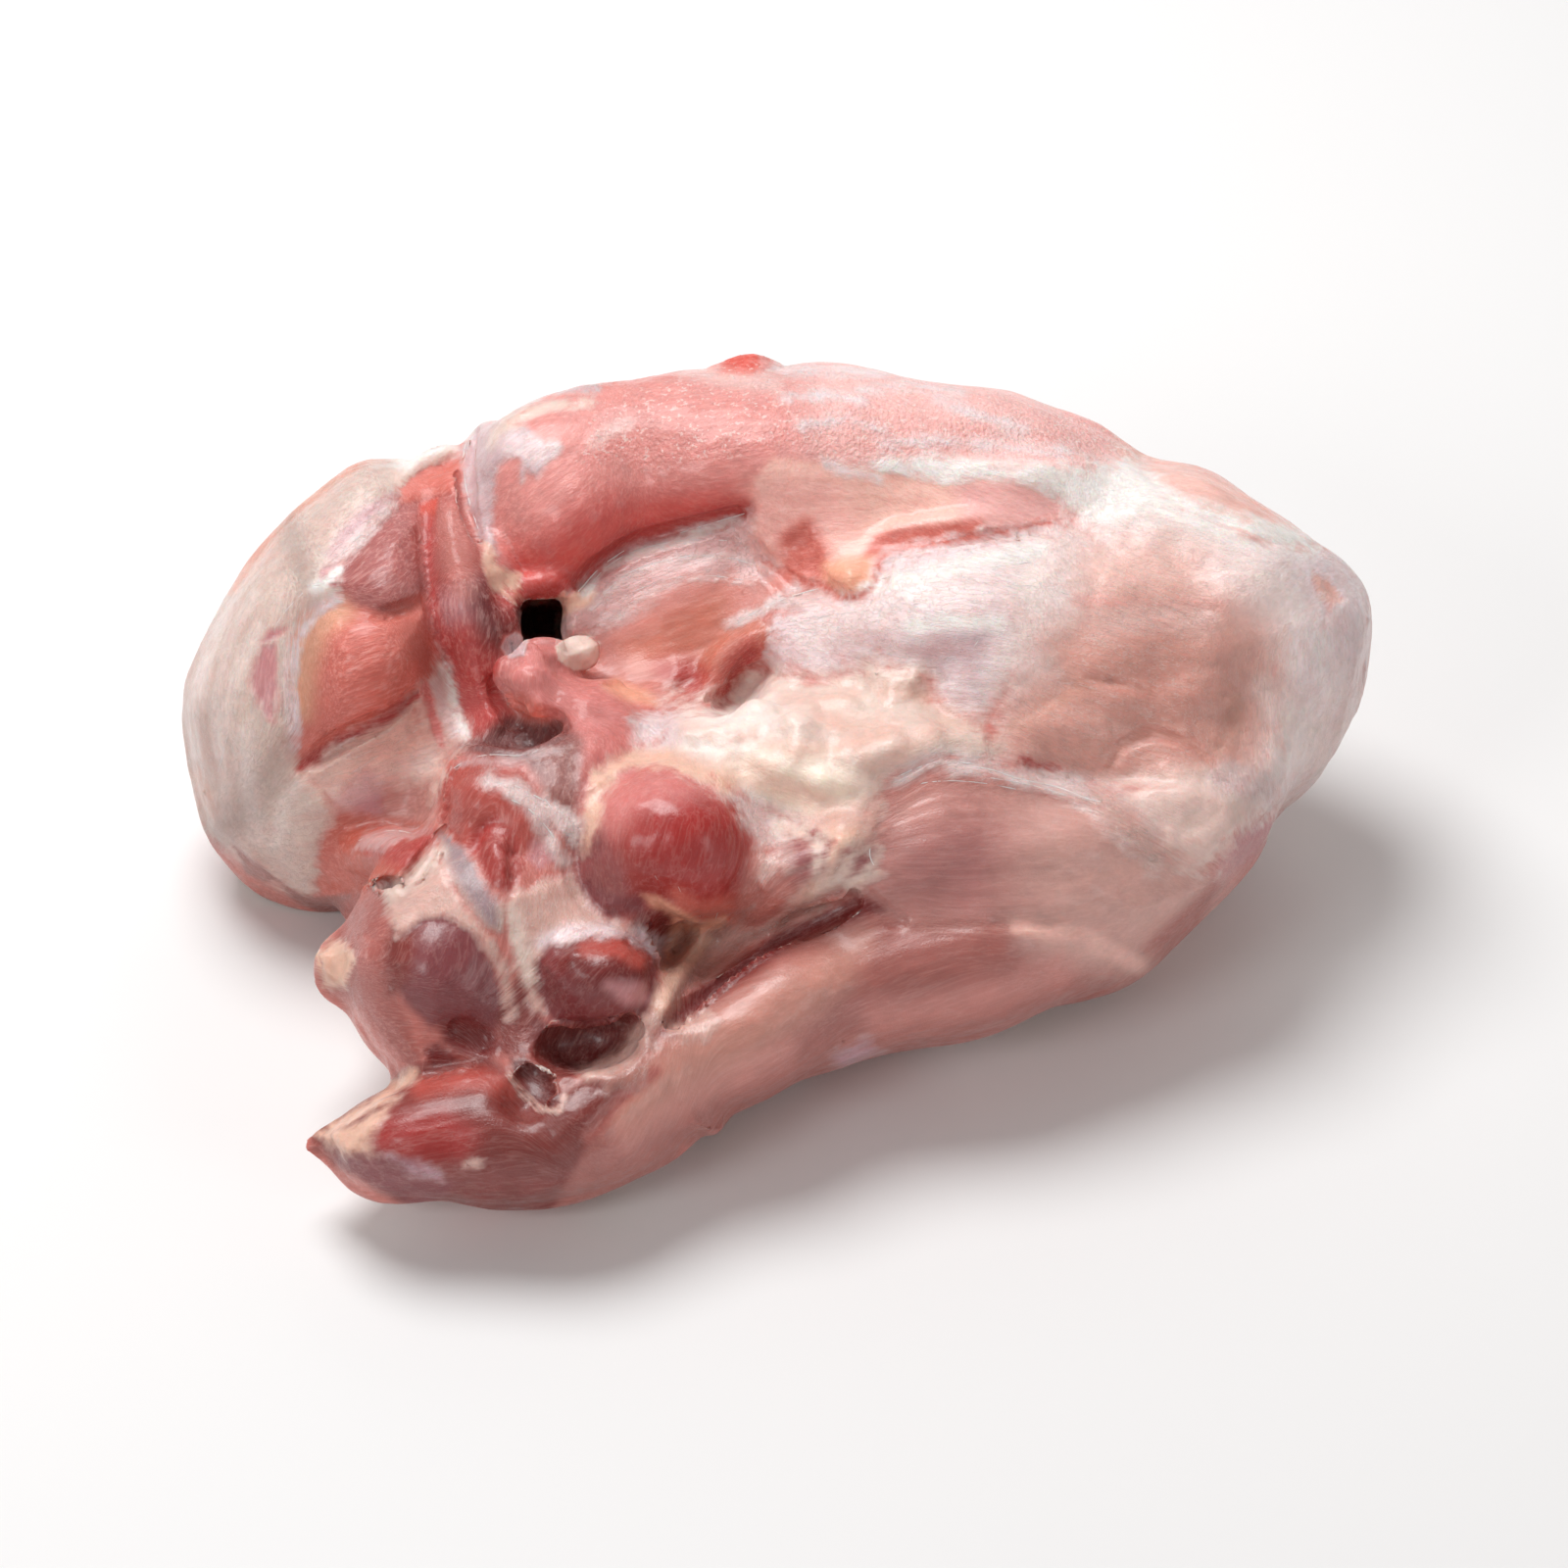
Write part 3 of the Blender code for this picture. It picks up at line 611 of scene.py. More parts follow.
# Patches of the cut side, painted in this order: outline in pixels, tissue and softness of its edge in mm,
# and for some how far they bulge and over what width, in mm.
patches = {
    "topRight": ((800, 366, 950, 372, 1020, 385, 1080, 410, 1160, 450, 1160, 470, 1040, 474, 1000, 465,
        960, 468, 900, 480, 830, 470, 790, 450, 790, 390), "paleRose", 8),
    "topPale": ((660, 372, 760, 366, 900, 374, 1000, 390, 960, 420, 880, 440, 800, 440, 740, 430,
        700, 410), "paleRose", 14),
    "bulge": ((800, 600, 850, 598, 888, 605, 890, 580, 905, 562, 960, 550, 1020, 541, 1090, 530, 1130, 545,
        1120, 590, 1110, 640, 1080, 680, 1030, 700, 1000, 740, 960, 722, 946, 690, 884, 680, 830, 690,
        780, 690, 770, 665, 785, 640, 800, 620), "silver", 8, 2.4, 20),
    "bulgeBlush": ((940, 665, 965, 652, 1005, 650, 990, 676, 960, 684, 940, 680), "lilacSkin", 5),
    "rightCoat": ((1090, 500, 1040, 482, 1000, 472, 1040, 474, 1150, 470, 1200, 508, 1260, 535, 1300, 550,
        1345, 552, 1380, 560, 1420, 635, 1400, 680, 1390, 745, 1350, 820, 1310, 828, 1262, 850, 1240, 880,
        1210, 895, 1150, 872, 1125, 848, 1100, 820, 1180, 795, 1250, 800, 1295, 760, 1295, 700, 1282, 650,
        1250, 622, 1180, 612, 1120, 600, 1105, 560, 1095, 530), "coatRight", 8, 0.5, 4),
    "topBand": ((880, 478, 910, 466, 960, 462, 1040, 474, 1100, 472, 1165, 480, 1200, 506, 1240, 522,
        1300, 546, 1250, 552, 1190, 548, 1120, 530, 1060, 505, 1010, 490, 960, 496,
        920, 494), "bandWhite", 6, 0.6, 4),
    "endPale": ((1290, 570, 1350, 560, 1400, 620, 1396, 660, 1350, 700, 1300, 680,
        1290, 620), "silver", 12),
    "underWindow": ((1050, 560, 1110, 540, 1240, 548, 1312, 600, 1312, 770, 1262, 828, 1160, 812, 1060, 800,
        1010, 764, 1026, 690), "coatRight", 8),
    "salmonUpper": ((1112, 580, 1140, 566, 1185, 562, 1212, 572, 1216, 600, 1200, 616, 1150, 616,
        1118, 606), "salmonFilmPale", 10),
    "salmonMain": ((1080, 660, 1130, 634, 1190, 620, 1245, 622, 1275, 646, 1284, 690, 1268, 730, 1266, 765,
        1244, 796, 1200, 800, 1160, 790, 1090, 786, 1050, 776, 1026, 756, 1034, 730, 1060, 706,
        1090, 694), "salmonFilm", 12, 1.6, 14),
    "salmonDark": ((1130, 690, 1160, 664, 1210, 660, 1250, 690, 1254, 735, 1220, 752,
        1180, 740), "salmonFilmDark", 18),
    "edgeSalmon": ((1140, 452, 1200, 472, 1260, 492, 1320, 525, 1370, 555, 1340, 553, 1290, 548, 1260, 533,
        1210, 508, 1180, 485, 1150, 470), "salmonPale", 4, 0.4, 2),
    "endDimple": ((1340, 585, 1352, 590, 1370, 612, 1358, 618, 1345, 605), "salmonPale", 2.5),
    "whitePatch": ((1230, 790, 1290, 805, 1262, 850, 1240, 878, 1215, 892, 1180, 870, 1190, 840,
        1150, 800), "fatWhite", 5, 1.2, 8),
    "edgeUnder": ((1316, 828, 1290, 862, 1262, 885, 1230, 925, 1245, 880, 1265, 852), "mauve", 3, 0.5, 3),
    "pMuscle": ((905, 870, 912, 840, 930, 818, 960, 806, 1040, 808, 1100, 822, 1135, 850, 1150, 870,
        1210, 895, 1240, 905, 1200, 950, 1150, 985, 1095, 945, 1050, 936, 1000, 942, 930, 944, 900, 930,
        880, 910), "pPink", 4, 3, 20),
    "pRed": ((914, 862, 924, 832, 955, 820, 1010, 822, 1000, 842, 960, 852, 930, 868), "salmonBody", 14),
    "pMauve": ((925, 868, 980, 845, 1030, 852, 1030, 890, 980, 910, 925, 898), "pShade", 24),
    "pRight": ((1060, 830, 1130, 840, 1200, 890, 1220, 915, 1160, 960, 1090, 940, 1060, 900), "pPale", 22),
    "pStrands": ((925, 800, 960, 780, 1010, 786, 1060, 802, 1120, 824, 1140, 815, 1100, 795, 1040, 788,
        1000, 778, 960, 772, 930, 785), "filmWhite", 3, 0.5, 2),
    "belly": ((520, 1090, 600, 1110, 660, 1060, 690, 1040, 740, 1000, 800, 962, 860, 938, 925, 944,
        1000, 945, 1050, 950, 1095, 950, 1150, 985, 1240, 905, 1200, 985, 1085, 1040, 965, 1080, 875, 1105,
        770, 1135, 728, 1165, 695, 1165, 680, 1200, 640, 1225, 520, 1235,
        560, 1160), "bellyPink", 3, 2.4, 22),
    "bellyWarm": ((700, 1060, 800, 1000, 880, 960, 860, 1000, 760, 1080, 640, 1150,
        620, 1130), "salmonBrown", 8),
    # painted shade along the crevice
    "crevice": ((678, 1054, 706, 1016, 752, 982, 802, 949, 852, 929, 878, 916, 900, 927, 862, 938, 808, 960,
        760, 994, 720, 1022, 694, 1050), "darkRed", 2.6),
    "bandOverCrevice": ((764, 930, 800, 900, 842, 878, 832, 908, 820, 926, 790, 940, 740, 965, 712, 990,
        700, 1000, 704, 975, 730, 955), "pPale", 5, 0.8, 3),
    "strap": ((714, 944, 748, 940, 734, 958, 712, 984, 702, 1006, 690, 1030, 676, 1046, 667, 1040,
        676, 1010, 684, 984, 696, 964), "strap", 2.4, 0.8, 3),
    "bellyWhite": ((672, 1040, 700, 1040, 722, 1032, 732, 1045, 722, 1062, 700, 1062,
        680, 1055), "fatGrey", 3, 0.3, 1.5),
    "bellyPale": ((850, 1078, 885, 1060, 900, 1075, 860, 1092), "filmLilac", 4),
    "bellyCream": ((1043, 945, 1100, 948, 1166, 985, 1120, 982, 1060, 966), "pPale", 9, 0.4, 2),
    "leftCoat": ((484, 430, 440, 440, 400, 454, 365, 470, 330, 492, 300, 510, 280, 536, 262, 562, 240, 585,
        222, 604, 195, 645, 176, 690, 170, 715, 176, 760, 186, 800, 206, 850, 240, 872, 262, 884, 282, 900,
        300, 912, 318, 920, 324, 890, 326, 860, 338, 835, 345, 822, 330, 806, 305, 785, 302, 740, 298, 700,
        298, 655, 312, 632, 345, 612, 346, 596, 349, 575, 372, 548, 400, 520, 408, 498, 440, 480,
        468, 458), "coat", 3.2, 1.2, 8),
    "mauveOval": ((262, 672, 268, 658, 280, 657, 285, 680, 283, 712, 279, 738, 268, 730, 258, 710,
        256, 690), "mauve", 2.5, -0.4, 2),
    "mauveSmall": ((266, 655, 276, 642, 296, 640, 284, 650, 272, 656), "mauve", 2, -0.2, 1),
    "mauveNub": ((325, 585, 331, 577, 344, 575, 344, 600, 330, 590), "mauve", 1.6),
    "lilacStreak": ((340, 566, 352, 545, 375, 522, 404, 508, 398, 522, 378, 540, 362, 552,
        346, 572), "filmLilac", 2.5),
    "coatCream": ((398, 488, 425, 462, 450, 448, 474, 438, 468, 462, 440, 468, 420, 484,
        408, 496), "cream", 3, 0.5, 2),
    "upperHead": ((346, 600, 349, 580, 372, 550, 405, 520, 418, 508, 434, 512, 440, 535, 433, 552, 436, 580,
        438, 612, 412, 622, 392, 626, 370, 620, 352, 612), "headPink", 1.6, 2.4, 13),
    "lowerHead": ((300, 690, 300, 655, 312, 632, 340, 618, 372, 622, 400, 630, 438, 618, 443, 650, 444, 690,
        430, 704, 405, 725, 365, 746, 340, 760, 312, 786, 304, 760, 303, 725), "salmonRed", 2, 2.8, 15),
    "lowerHeadRim": ((298, 690, 298, 655, 312, 632, 345, 615, 355, 625, 330, 645, 318, 680, 312, 730,
        303, 725), "orange", 5),
    "headsCrease": ((392, 630, 410, 618, 438, 606, 442, 614, 420, 624), "salmonRed", 3),
    "column": ((430, 512, 450, 500, 470, 508, 486, 540, 496, 575, 512, 606, 540, 622, 545, 650, 528, 668,
        510, 690, 506, 705, 526, 730, 512, 751, 490, 752, 474, 734, 464, 690, 451, 658, 441, 620,
        434, 560), "columnFlesh", 1.5, 2.6, 8),
    "columnTop": ((432, 516, 450, 502, 470, 510, 488, 545, 494, 572, 470, 586, 446, 580,
        436, 550), "columnTop", 8),
    "columnPocket": ((500, 600, 516, 604, 544, 622, 548, 655, 524, 662, 508, 640), "pocketShade", 7),
    "columnSheen": ((452, 612, 480, 600, 508, 604, 518, 630, 510, 640, 470, 640, 450, 632), "mauve", 7),
    "columnRed": ((456, 660, 480, 640, 520, 640, 524, 690, 504, 735, 486, 752, 466, 725,
        458, 690), "columnDeep", 7),
    "pocketShadow": ((484, 600, 500, 596, 520, 608, 540, 622, 536, 655, 520, 664, 504, 654,
        490, 630), "pocketShade", 8),
    "pocketShadowNear": ((508, 606, 530, 612, 538, 650, 524, 660, 512, 640), "darkRed", 5),
    "redKnob": ((408, 498, 418, 488, 440, 474, 468, 472, 470, 490, 462, 500, 440, 505,
        415, 512), "salmonRed", 1.2, 1, 5),
    "notchRed": ((430, 512, 445, 510, 442, 532, 433, 536), "brightRed", 1, -0.4, 1),
    "strandFan": ((418, 712, 440, 686, 451, 658, 460, 690, 466, 720, 480, 752, 470, 765, 455, 775, 446, 790,
        430, 770, 424, 740), "filmPink", 4, 0.4, 2),
    "hairyPatch": ((306, 788, 340, 764, 365, 750, 400, 735, 424, 712, 430, 740, 446, 775, 455, 790,
        440, 820, 410, 800, 380, 800, 346, 822, 325, 806), "hairy", 4, 1, 8),
    "lobeLow": ((385, 800, 440, 800, 444, 835, 440, 845, 410, 852, 395, 835), "pPink", 5, 0.5, 3),
    "lilacLow": ((350, 820, 375, 795, 388, 805, 392, 830, 360, 825), "filmLilac", 4),
    "tipPatch": ((326, 862, 345, 835, 395, 838, 430, 846, 442, 848, 424, 882, 406, 898, 388, 904, 355, 914,
        330, 910, 322, 895), "tipFlesh", 3, 2, 10),
    "tipPatchRed": ((375, 868, 400, 865, 440, 850, 420, 885, 404, 880), "deepRed", 4),
    "tipPatchWeb": ((362, 865, 372, 852, 400, 845, 440, 846, 412, 856, 385, 868), "film", 3),
    "underLayer": ((238, 862, 262, 878, 282, 896, 272, 900, 252, 890), "brown", 1, 0.4, 1.5),
    "underLayerLong": ((281, 897, 300, 908, 320, 916, 358, 914, 358, 930, 330, 932,
        300, 918), "brown", 1, 0.4, 1.5),
    "filmMuscle": ((572, 618, 590, 598, 612, 576, 650, 553, 700, 540, 760, 524, 768, 545, 776, 566,
        795, 578, 810, 592, 790, 610, 750, 632, 720, 660, 700, 690, 690, 696, 660, 685, 640, 690, 610, 680,
        596, 652, 575, 655, 568, 640), "filmFlesh", 2.5, 2.6, 14),
    "filmOver": ((576, 622, 590, 600, 612, 576, 650, 553, 700, 540, 762, 524, 770, 550, 795, 578, 780, 596,
        740, 586, 700, 590, 660, 612, 630, 640, 600, 650, 575, 655, 570, 640), "film", 5),
    "filmLow": ((640, 660, 690, 630, 735, 612, 740, 640, 712, 670, 700, 692, 688, 696,
        650, 680), "tongueFlesh", 7),
    "head": ((474, 434, 505, 412, 560, 396, 610, 380, 660, 370, 710, 364, 780, 364, 800, 400, 790, 450,
        778, 480, 768, 515, 745, 527, 700, 538, 650, 552, 612, 575, 582, 605, 565, 613, 540, 617, 520, 608,
        500, 590, 494, 565, 486, 540, 476, 515, 472, 480), "rose", 2),
    # the top muscle's underside: its own darker red, and painted shade where it turns downwards
    "headUndersideShade": ((555, 560, 590, 535, 625, 512, 680, 506, 760, 506, 768, 515, 740, 527, 690, 538, 640, 555,
        605, 580, 582, 604, 545, 612, 530, 595, 530, 575), "undersideRed", 12),
    "headStrip": ((490, 490, 500, 478, 501, 520, 506, 560, 520, 580, 508, 575, 495, 545), "pinkRed", 2.5),
    "headMembrane": ((472, 440, 500, 414, 545, 394, 608, 386, 612, 400, 560, 404, 548, 412, 520, 430,
        540, 436, 556, 452, 572, 458, 560, 468, 548, 490, 538, 480, 532, 492, 530, 470, 522, 466, 508, 476,
        503, 500, 502, 540, 508, 568, 500, 575, 488, 545, 476, 515, 472, 480), "lilacSkin", 2.2, 0.3, 1),
    "creamStrip": ((548, 412, 560, 408, 600, 406, 608, 410, 600, 416, 560, 420, 535, 430, 510, 440,
        500, 455, 505, 440, 520, 425), "cream", 2, 0.4, 1.5),
    "creamRim": ((493, 556, 500, 562, 505, 575, 518, 581, 531, 586, 533, 600, 530, 614, 520, 612, 504, 602,
        496, 590, 491, 574), "creamWarm", 1.4, 0.6, 2),
    "creamRimThin": ((524, 606, 540, 614, 560, 611, 576, 604, 580, 610, 562, 618, 538, 621,
        522, 615), "creamWarm", 0.9, 0.2, 1),
    "headShine": ((590, 470, 600, 420, 640, 396, 720, 384, 800, 380, 800, 450, 740, 470,
        660, 480), "rose", 14),
    "rumpSpot": ((735, 380, 745, 365, 770, 362, 775, 372, 765, 382), "brightRed", 1.5),
    "flap": ((770, 520, 772, 490, 790, 470, 880, 478, 960, 495, 1020, 488, 1070, 505, 1090, 520, 1060, 532,
        1000, 540, 940, 552, 905, 558, 888, 572, 886, 590, 878, 604, 860, 606, 845, 592, 812, 590, 795, 575,
        776, 565, 768, 545), "salmon", 1.8),
    "flapPink": ((770, 502, 800, 492, 850, 500, 866, 535, 838, 556, 800, 576, 776, 566,
        768, 540), "flapPink", 8),
    "flapShade": ((800, 548, 823, 533, 838, 560, 845, 590, 805, 585), "salmonRed", 4, -0.8, 3),
    "flapRight": ((980, 500, 1030, 492, 1085, 517, 1075, 530, 1020, 537, 990, 530), "paleRose", 5),
    "flapEdgeRed": ((880, 572, 894, 548, 920, 541, 960, 537, 1000, 533, 990, 543, 940, 553, 905, 559,
        890, 566), "salmonRed", 2.4),
    "flapTip": ((843, 578, 870, 572, 890, 572, 888, 592, 876, 606, 858, 606, 845, 592), "paleOrange", 3),
    "tongue": ((712, 690, 708, 672, 722, 655, 744, 640, 772, 631, 784, 640, 782, 662, 770, 682, 752, 690,
        746, 706, 730, 716, 716, 712), "tongueFlesh", 1.6, 1.8, 6),
    # painted shade in the tongue's pit and hollow
    "tonguePit": ((748, 676, 765, 660, 774, 664, 768, 680, 752, 690, 742, 716, 735, 712), "deepRed", 6),
    "tongueHollow": ((676, 684, 700, 680, 715, 690, 712, 702, 690, 698), "deepRed", 7),
    "flapMiddle": ((585, 705, 605, 695, 628, 697, 655, 706, 676, 722, 668, 740, 650, 765, 620, 775,
        600, 800, 586, 820, 580, 780, 585, 745, 562, 722, 568, 712), "pinkRed", 1.8, 1.8, 8),
    "flapMiddleEdge": ((618, 700, 628, 696, 660, 708, 670, 718, 640, 712), "orangeLip", 2.5),
    "pool": ((470, 762, 496, 752, 516, 738, 548, 734, 578, 742, 586, 758, 578, 790, 584, 830, 570, 815,
        556, 792, 540, 776, 500, 770), "pool", 4),
    "poolRight": ((560, 770, 586, 760, 588, 800, 582, 825, 566, 815, 556, 792), "brown", 5, 0.4, 2),
    # the pocket: painted shade, near black, in the hollow
    "pocket": ((522, 604, 545, 618, 566, 616, 574, 626, 570, 645, 560, 658, 545, 656,
        532, 640), "black", 1.5),
    "lilacEdge": ((568, 626, 578, 622, 582, 640, 578, 652, 568, 652), "filmWhite", 1.5),
    "creamSpur": ((574, 612, 590, 604, 606, 604, 602, 616, 584, 622, 574, 628), "creamWarm", 1.2),
    "nodule": ((506, 694, 512, 676, 530, 664, 552, 662, 572, 672, 590, 690, 600, 712, 585, 722, 572, 732,
        556, 734, 538, 728, 518, 716), "pinkRed", 1.2, 0.6, 4),
    "noduleRed": ((520, 712, 540, 716, 552, 724, 556, 734, 540, 733, 524, 722), "salmonRed", 3),
    "noduleCap": ((512, 662, 514, 650, 528, 645, 540, 652, 552, 648, 570, 652, 576, 664, 560, 672, 536, 670,
        516, 674), "pinkRed", 0.9),
    "lilacNub": ((512, 661, 516, 650, 528, 645, 539, 653, 535, 668, 518, 672), "lilacSkin", 0.8),
    "creamKnob": ((566, 660, 576, 652, 600, 647, 611, 658, 610, 674, 600, 684, 586, 684,
        570, 674), "cream", 0.8),
    "saddle": ((680, 722, 700, 722, 740, 720, 752, 696, 768, 684, 800, 690, 840, 694, 880, 688, 884, 678,
        905, 682, 940, 684, 948, 698, 948, 716, 975, 730, 1010, 744, 1018, 772, 980, 776, 945, 778,
        922, 788, 905, 805, 888, 832, 872, 866, 850, 868, 832, 850, 800, 834, 770, 822, 745, 806, 715, 794,
        690, 784, 650, 782, 625, 790, 606, 812, 596, 806, 606, 788, 640, 766, 672, 756,
        674, 736), "cream", 4.5, 1.8, 8),
    "saddleWhite": ((684, 722, 740, 718, 780, 730, 770, 760, 720, 768, 690, 756), "saddlePale", 14),
    "saddleLowPale": ((740, 784, 790, 776, 840, 784, 866, 806, 850, 830, 800, 826,
        750, 806), "saddleWarm", 8),
    "saddleLilac": ((640, 735, 668, 724, 686, 730, 684, 756, 664, 762, 645, 758), "silver", 4),
    "webLeft": ((905, 805, 896, 850, 886, 872, 900, 892, 880, 908, 866, 905, 850, 920, 832, 930, 800, 938,
        816, 905, 834, 880, 838, 856, 815, 842, 850, 832, 880, 826), "fatGrey", 4, 0.8, 3),
    # painted shade in the hollow of the web
    "webHollow": ((806, 866, 826, 856, 836, 872, 828, 896, 808, 900, 798, 884), "brown", 4),
    "webCream": ((850, 850, 872, 850, 868, 880, 850, 905, 828, 922, 838, 890), "creamWarm", 4, 0.6, 3),
    "heart": ((594, 832, 606, 806, 628, 790, 652, 782, 690, 786, 720, 796, 752, 812, 766, 832, 766, 866,
        760, 900, 748, 932, 726, 946, 704, 940, 686, 922, 664, 916, 654, 925, 640, 936, 618, 932, 600, 912,
        588, 885, 586, 850), "heartRed", 2.4, 1.8, 10),
    "heartPale": ((600, 830, 620, 796, 650, 786, 690, 790, 730, 806, 700, 822, 650, 826,
        620, 850), "pinkRed", 7),
    "heartCore": ((665, 830, 720, 820, 755, 840, 750, 890, 720, 915, 680, 905, 665, 870), "heartCore", 10),
    "heartLeft": ((586, 850, 605, 845, 620, 870, 640, 920, 618, 930, 596, 905), "mauveDeep", 5),
    "heartCream": ((592, 846, 596, 812, 614, 792, 632, 790, 616, 810, 610, 850, 598, 872), "creamWarm", 4),
    "heartRimRight": ((700, 784, 750, 806, 786, 826, 815, 842, 820, 856, 800, 870, 776, 872, 764, 850,
        752, 822, 720, 800), "filmWhite", 4),
    "heartSide": ((770, 872, 800, 868, 826, 850, 838, 870, 826, 896, 800, 930, 770, 946, 752, 935,
        764, 900), "sideBrown", 5, 0.6, 4),
    "heartSideFilm": ((776, 870, 800, 868, 830, 856, 834, 872, 806, 886, 780, 900,
        770, 890), "filmPink", 4),
    "webShadow": ((806, 850, 832, 846, 846, 862, 838, 886, 816, 892, 800, 876), "mauveDeep", 5),
    "webShadowRight": ((858, 874, 884, 868, 892, 886, 876, 904, 856, 904), "mauveDeep", 5),
    "heartLipGlow": ((690, 912, 716, 926, 742, 920, 744, 938, 716, 946, 692, 932), "salmonRed", 4),
    "heartLip": ((656, 914, 670, 916, 690, 928, 716, 942, 740, 936, 736, 948, 704, 952,
        682, 938), "orangeLip", 1.6, 0.3, 1),
    # painted shade in the gap under the heart
    "gapDark": ((654, 930, 676, 930, 690, 944, 684, 968, 668, 960, 644, 946), "darkRed", 1.8),
    "gapAmber": ((690, 946, 712, 950, 694, 985, 680, 990, 682, 968), "amber", 3),
    "domeLeft": ((450, 800, 462, 782, 480, 775, 500, 776, 530, 782, 540, 795, 550, 815, 565, 830, 560, 850,
        545, 865, 520, 870, 500, 850, 488, 850, 480, 870, 470, 870, 462, 850,
        450, 835), "shankRed", 2.5, 2.6, 10),
    "domeRight": ((484, 850, 500, 838, 520, 845, 532, 880, 520, 912, 500, 900,
        488, 870), "heartRed", 2.5, 1.8, 8),
    "domeRim": ((462, 784, 480, 772, 520, 774, 560, 764, 585, 760, 560, 772, 520, 781,
        485, 779), "film", 2, 0.2, 1),
    "webWhite": ((510, 800, 520, 795, 545, 812, 580, 825, 592, 840, 584, 862, 565, 845, 570, 870, 560, 870,
        550, 840, 530, 822, 512, 815), "filmWhite", 2.4, 0.3, 1),
    "pinkBit": ((545, 860, 560, 862, 565, 875, 550, 885, 540, 875), "mauve", 2),
    "tendonGrey": ((450, 850, 480, 872, 492, 900, 515, 925, 516, 955, 500, 950, 480, 930, 462, 905,
        446, 880), "tendon", 3, 0.3, 2),
    "lilacNeck": ((575, 880, 590, 905, 612, 935, 640, 942, 660, 950, 680, 960, 675, 985, 650, 960, 600, 955,
        585, 930), "lilacSkin", 3),
    "creamSheet": ((515, 925, 520, 910, 545, 905, 580, 890, 590, 905, 600, 930, 640, 946, 600, 950,
        570, 965, 565, 1000, 548, 985, 545, 1010, 555, 1035, 540, 1030, 528, 990,
        516, 955), "sheet", 3, 0.6, 2),
    "creamArc": ((388, 905, 420, 890, 446, 866, 462, 905, 480, 930, 500, 955, 520, 1000, 510, 1000,
        490, 960, 460, 938, 430, 938, 405, 955, 395, 930), "sheet", 3, 0.5, 2),
    "leftEdge": ((345, 960, 354, 922, 388, 905, 395, 930, 388, 960, 370, 950, 360, 965), "shankBrown", 3),
    "leftLow": ((345, 965, 388, 965, 395, 1000, 410, 1040, 428, 1090, 400, 1065, 370, 1030,
        340, 1008), "shankBrown", 3, 0.4, 3),
    "rimFlap": ((322, 972, 340, 958, 352, 962, 362, 978, 352, 1008, 330, 1006,
        324, 985), "creamWarm", 2.5, 0.3, 2),
    "purpleOval": ((398, 980, 405, 955, 430, 938, 450, 935, 480, 950, 500, 985, 515, 1030, 505, 1050,
        470, 1040, 440, 1045, 415, 1020), "plum", 2.5, 1.8, 10),
    "ovalRed": ((395, 975, 402, 950, 422, 955, 412, 1000, 400, 1010), "tipRed", 4),
    "knob": ((546, 985, 560, 965, 590, 958, 640, 958, 668, 975, 670, 1005, 660, 1030, 640, 1042, 600, 1050,
        565, 1042, 550, 1010), "knobPlum", 2.5, 2.4, 9),
    "knobFace": ((575, 968, 600, 960, 640, 962, 660, 985, 655, 1005, 620, 1000, 590, 1000,
        575, 985), "knobRed", 4),
    "knobPink": ((620, 1005, 655, 1005, 660, 1020, 640, 1022), "mauve", 3),
    "pinkAround": ((510, 1040, 530, 1000, 545, 1030, 560, 1060, 580, 1085, 600, 1085, 580, 1100, 560, 1095,
        540, 1075, 515, 1075), "tipRed", 3, 0.4, 2),
    "tip": ((316, 1157, 340, 1134, 400, 1106, 424, 1090, 450, 1088, 500, 1080, 540, 1120, 562, 1135,
        600, 1105, 640, 1110, 600, 1160, 560, 1235, 490, 1245, 440, 1240, 400, 1215,
        345, 1186), "tipRed", 3, 1.8, 12),
    "shankFoot": ((600, 1075, 640, 1050, 665, 1030, 672, 1000, 690, 960, 700, 950, 738, 952, 766, 930,
        704, 975, 698, 1006, 674, 1045, 665, 1070, 650, 1105, 620, 1112, 590, 1095), "footPink", 5, 0.5, 2),
    # painted shade in the hollow under the knob
    "underKnob": ((544, 1044, 575, 1050, 610, 1050, 652, 1034, 662, 1042, 656, 1064, 630, 1084, 600, 1091,
        568, 1085, 549, 1066), "pocketBrown", 2.6),
    # painted shade in the two small pits
    "purplePit": ((450, 1045, 475, 1040, 500, 1050, 512, 1068, 495, 1078, 470, 1075,
        455, 1062), "darkRed", 2.4),
    "darkPit": ((434, 1072, 445, 1066, 464, 1078, 460, 1088, 442, 1090), "darkRed", 1.6),
    # painted shade inside the deep pit
    "deepPit": ((522, 1082, 535, 1080, 560, 1100, 571, 1120, 562, 1131, 540, 1120,
        528, 1105), "holeRed", 0.9),
    "tipCentre": ((378, 1165, 400, 1145, 450, 1140, 480, 1160, 470, 1178, 420, 1182,
        390, 1178), "tipCore", 7),
    "tipPale": ((322, 1157, 360, 1147, 390, 1130, 402, 1122, 388, 1150, 372, 1165, 382, 1178,
        356, 1180), "creamWarm", 4, 0.2, 1),
    "tipPurple": ((348, 1184, 385, 1178, 420, 1190, 460, 1210, 430, 1232, 390, 1212), "plum", 3),
    "tipSheen": ((395, 1180, 440, 1186, 452, 1204, 420, 1198), "filmLilac", 3),
    "whiteSpot": ((468, 1183, 495, 1180, 490, 1192, 472, 1193), "fatGrey", 2),
}

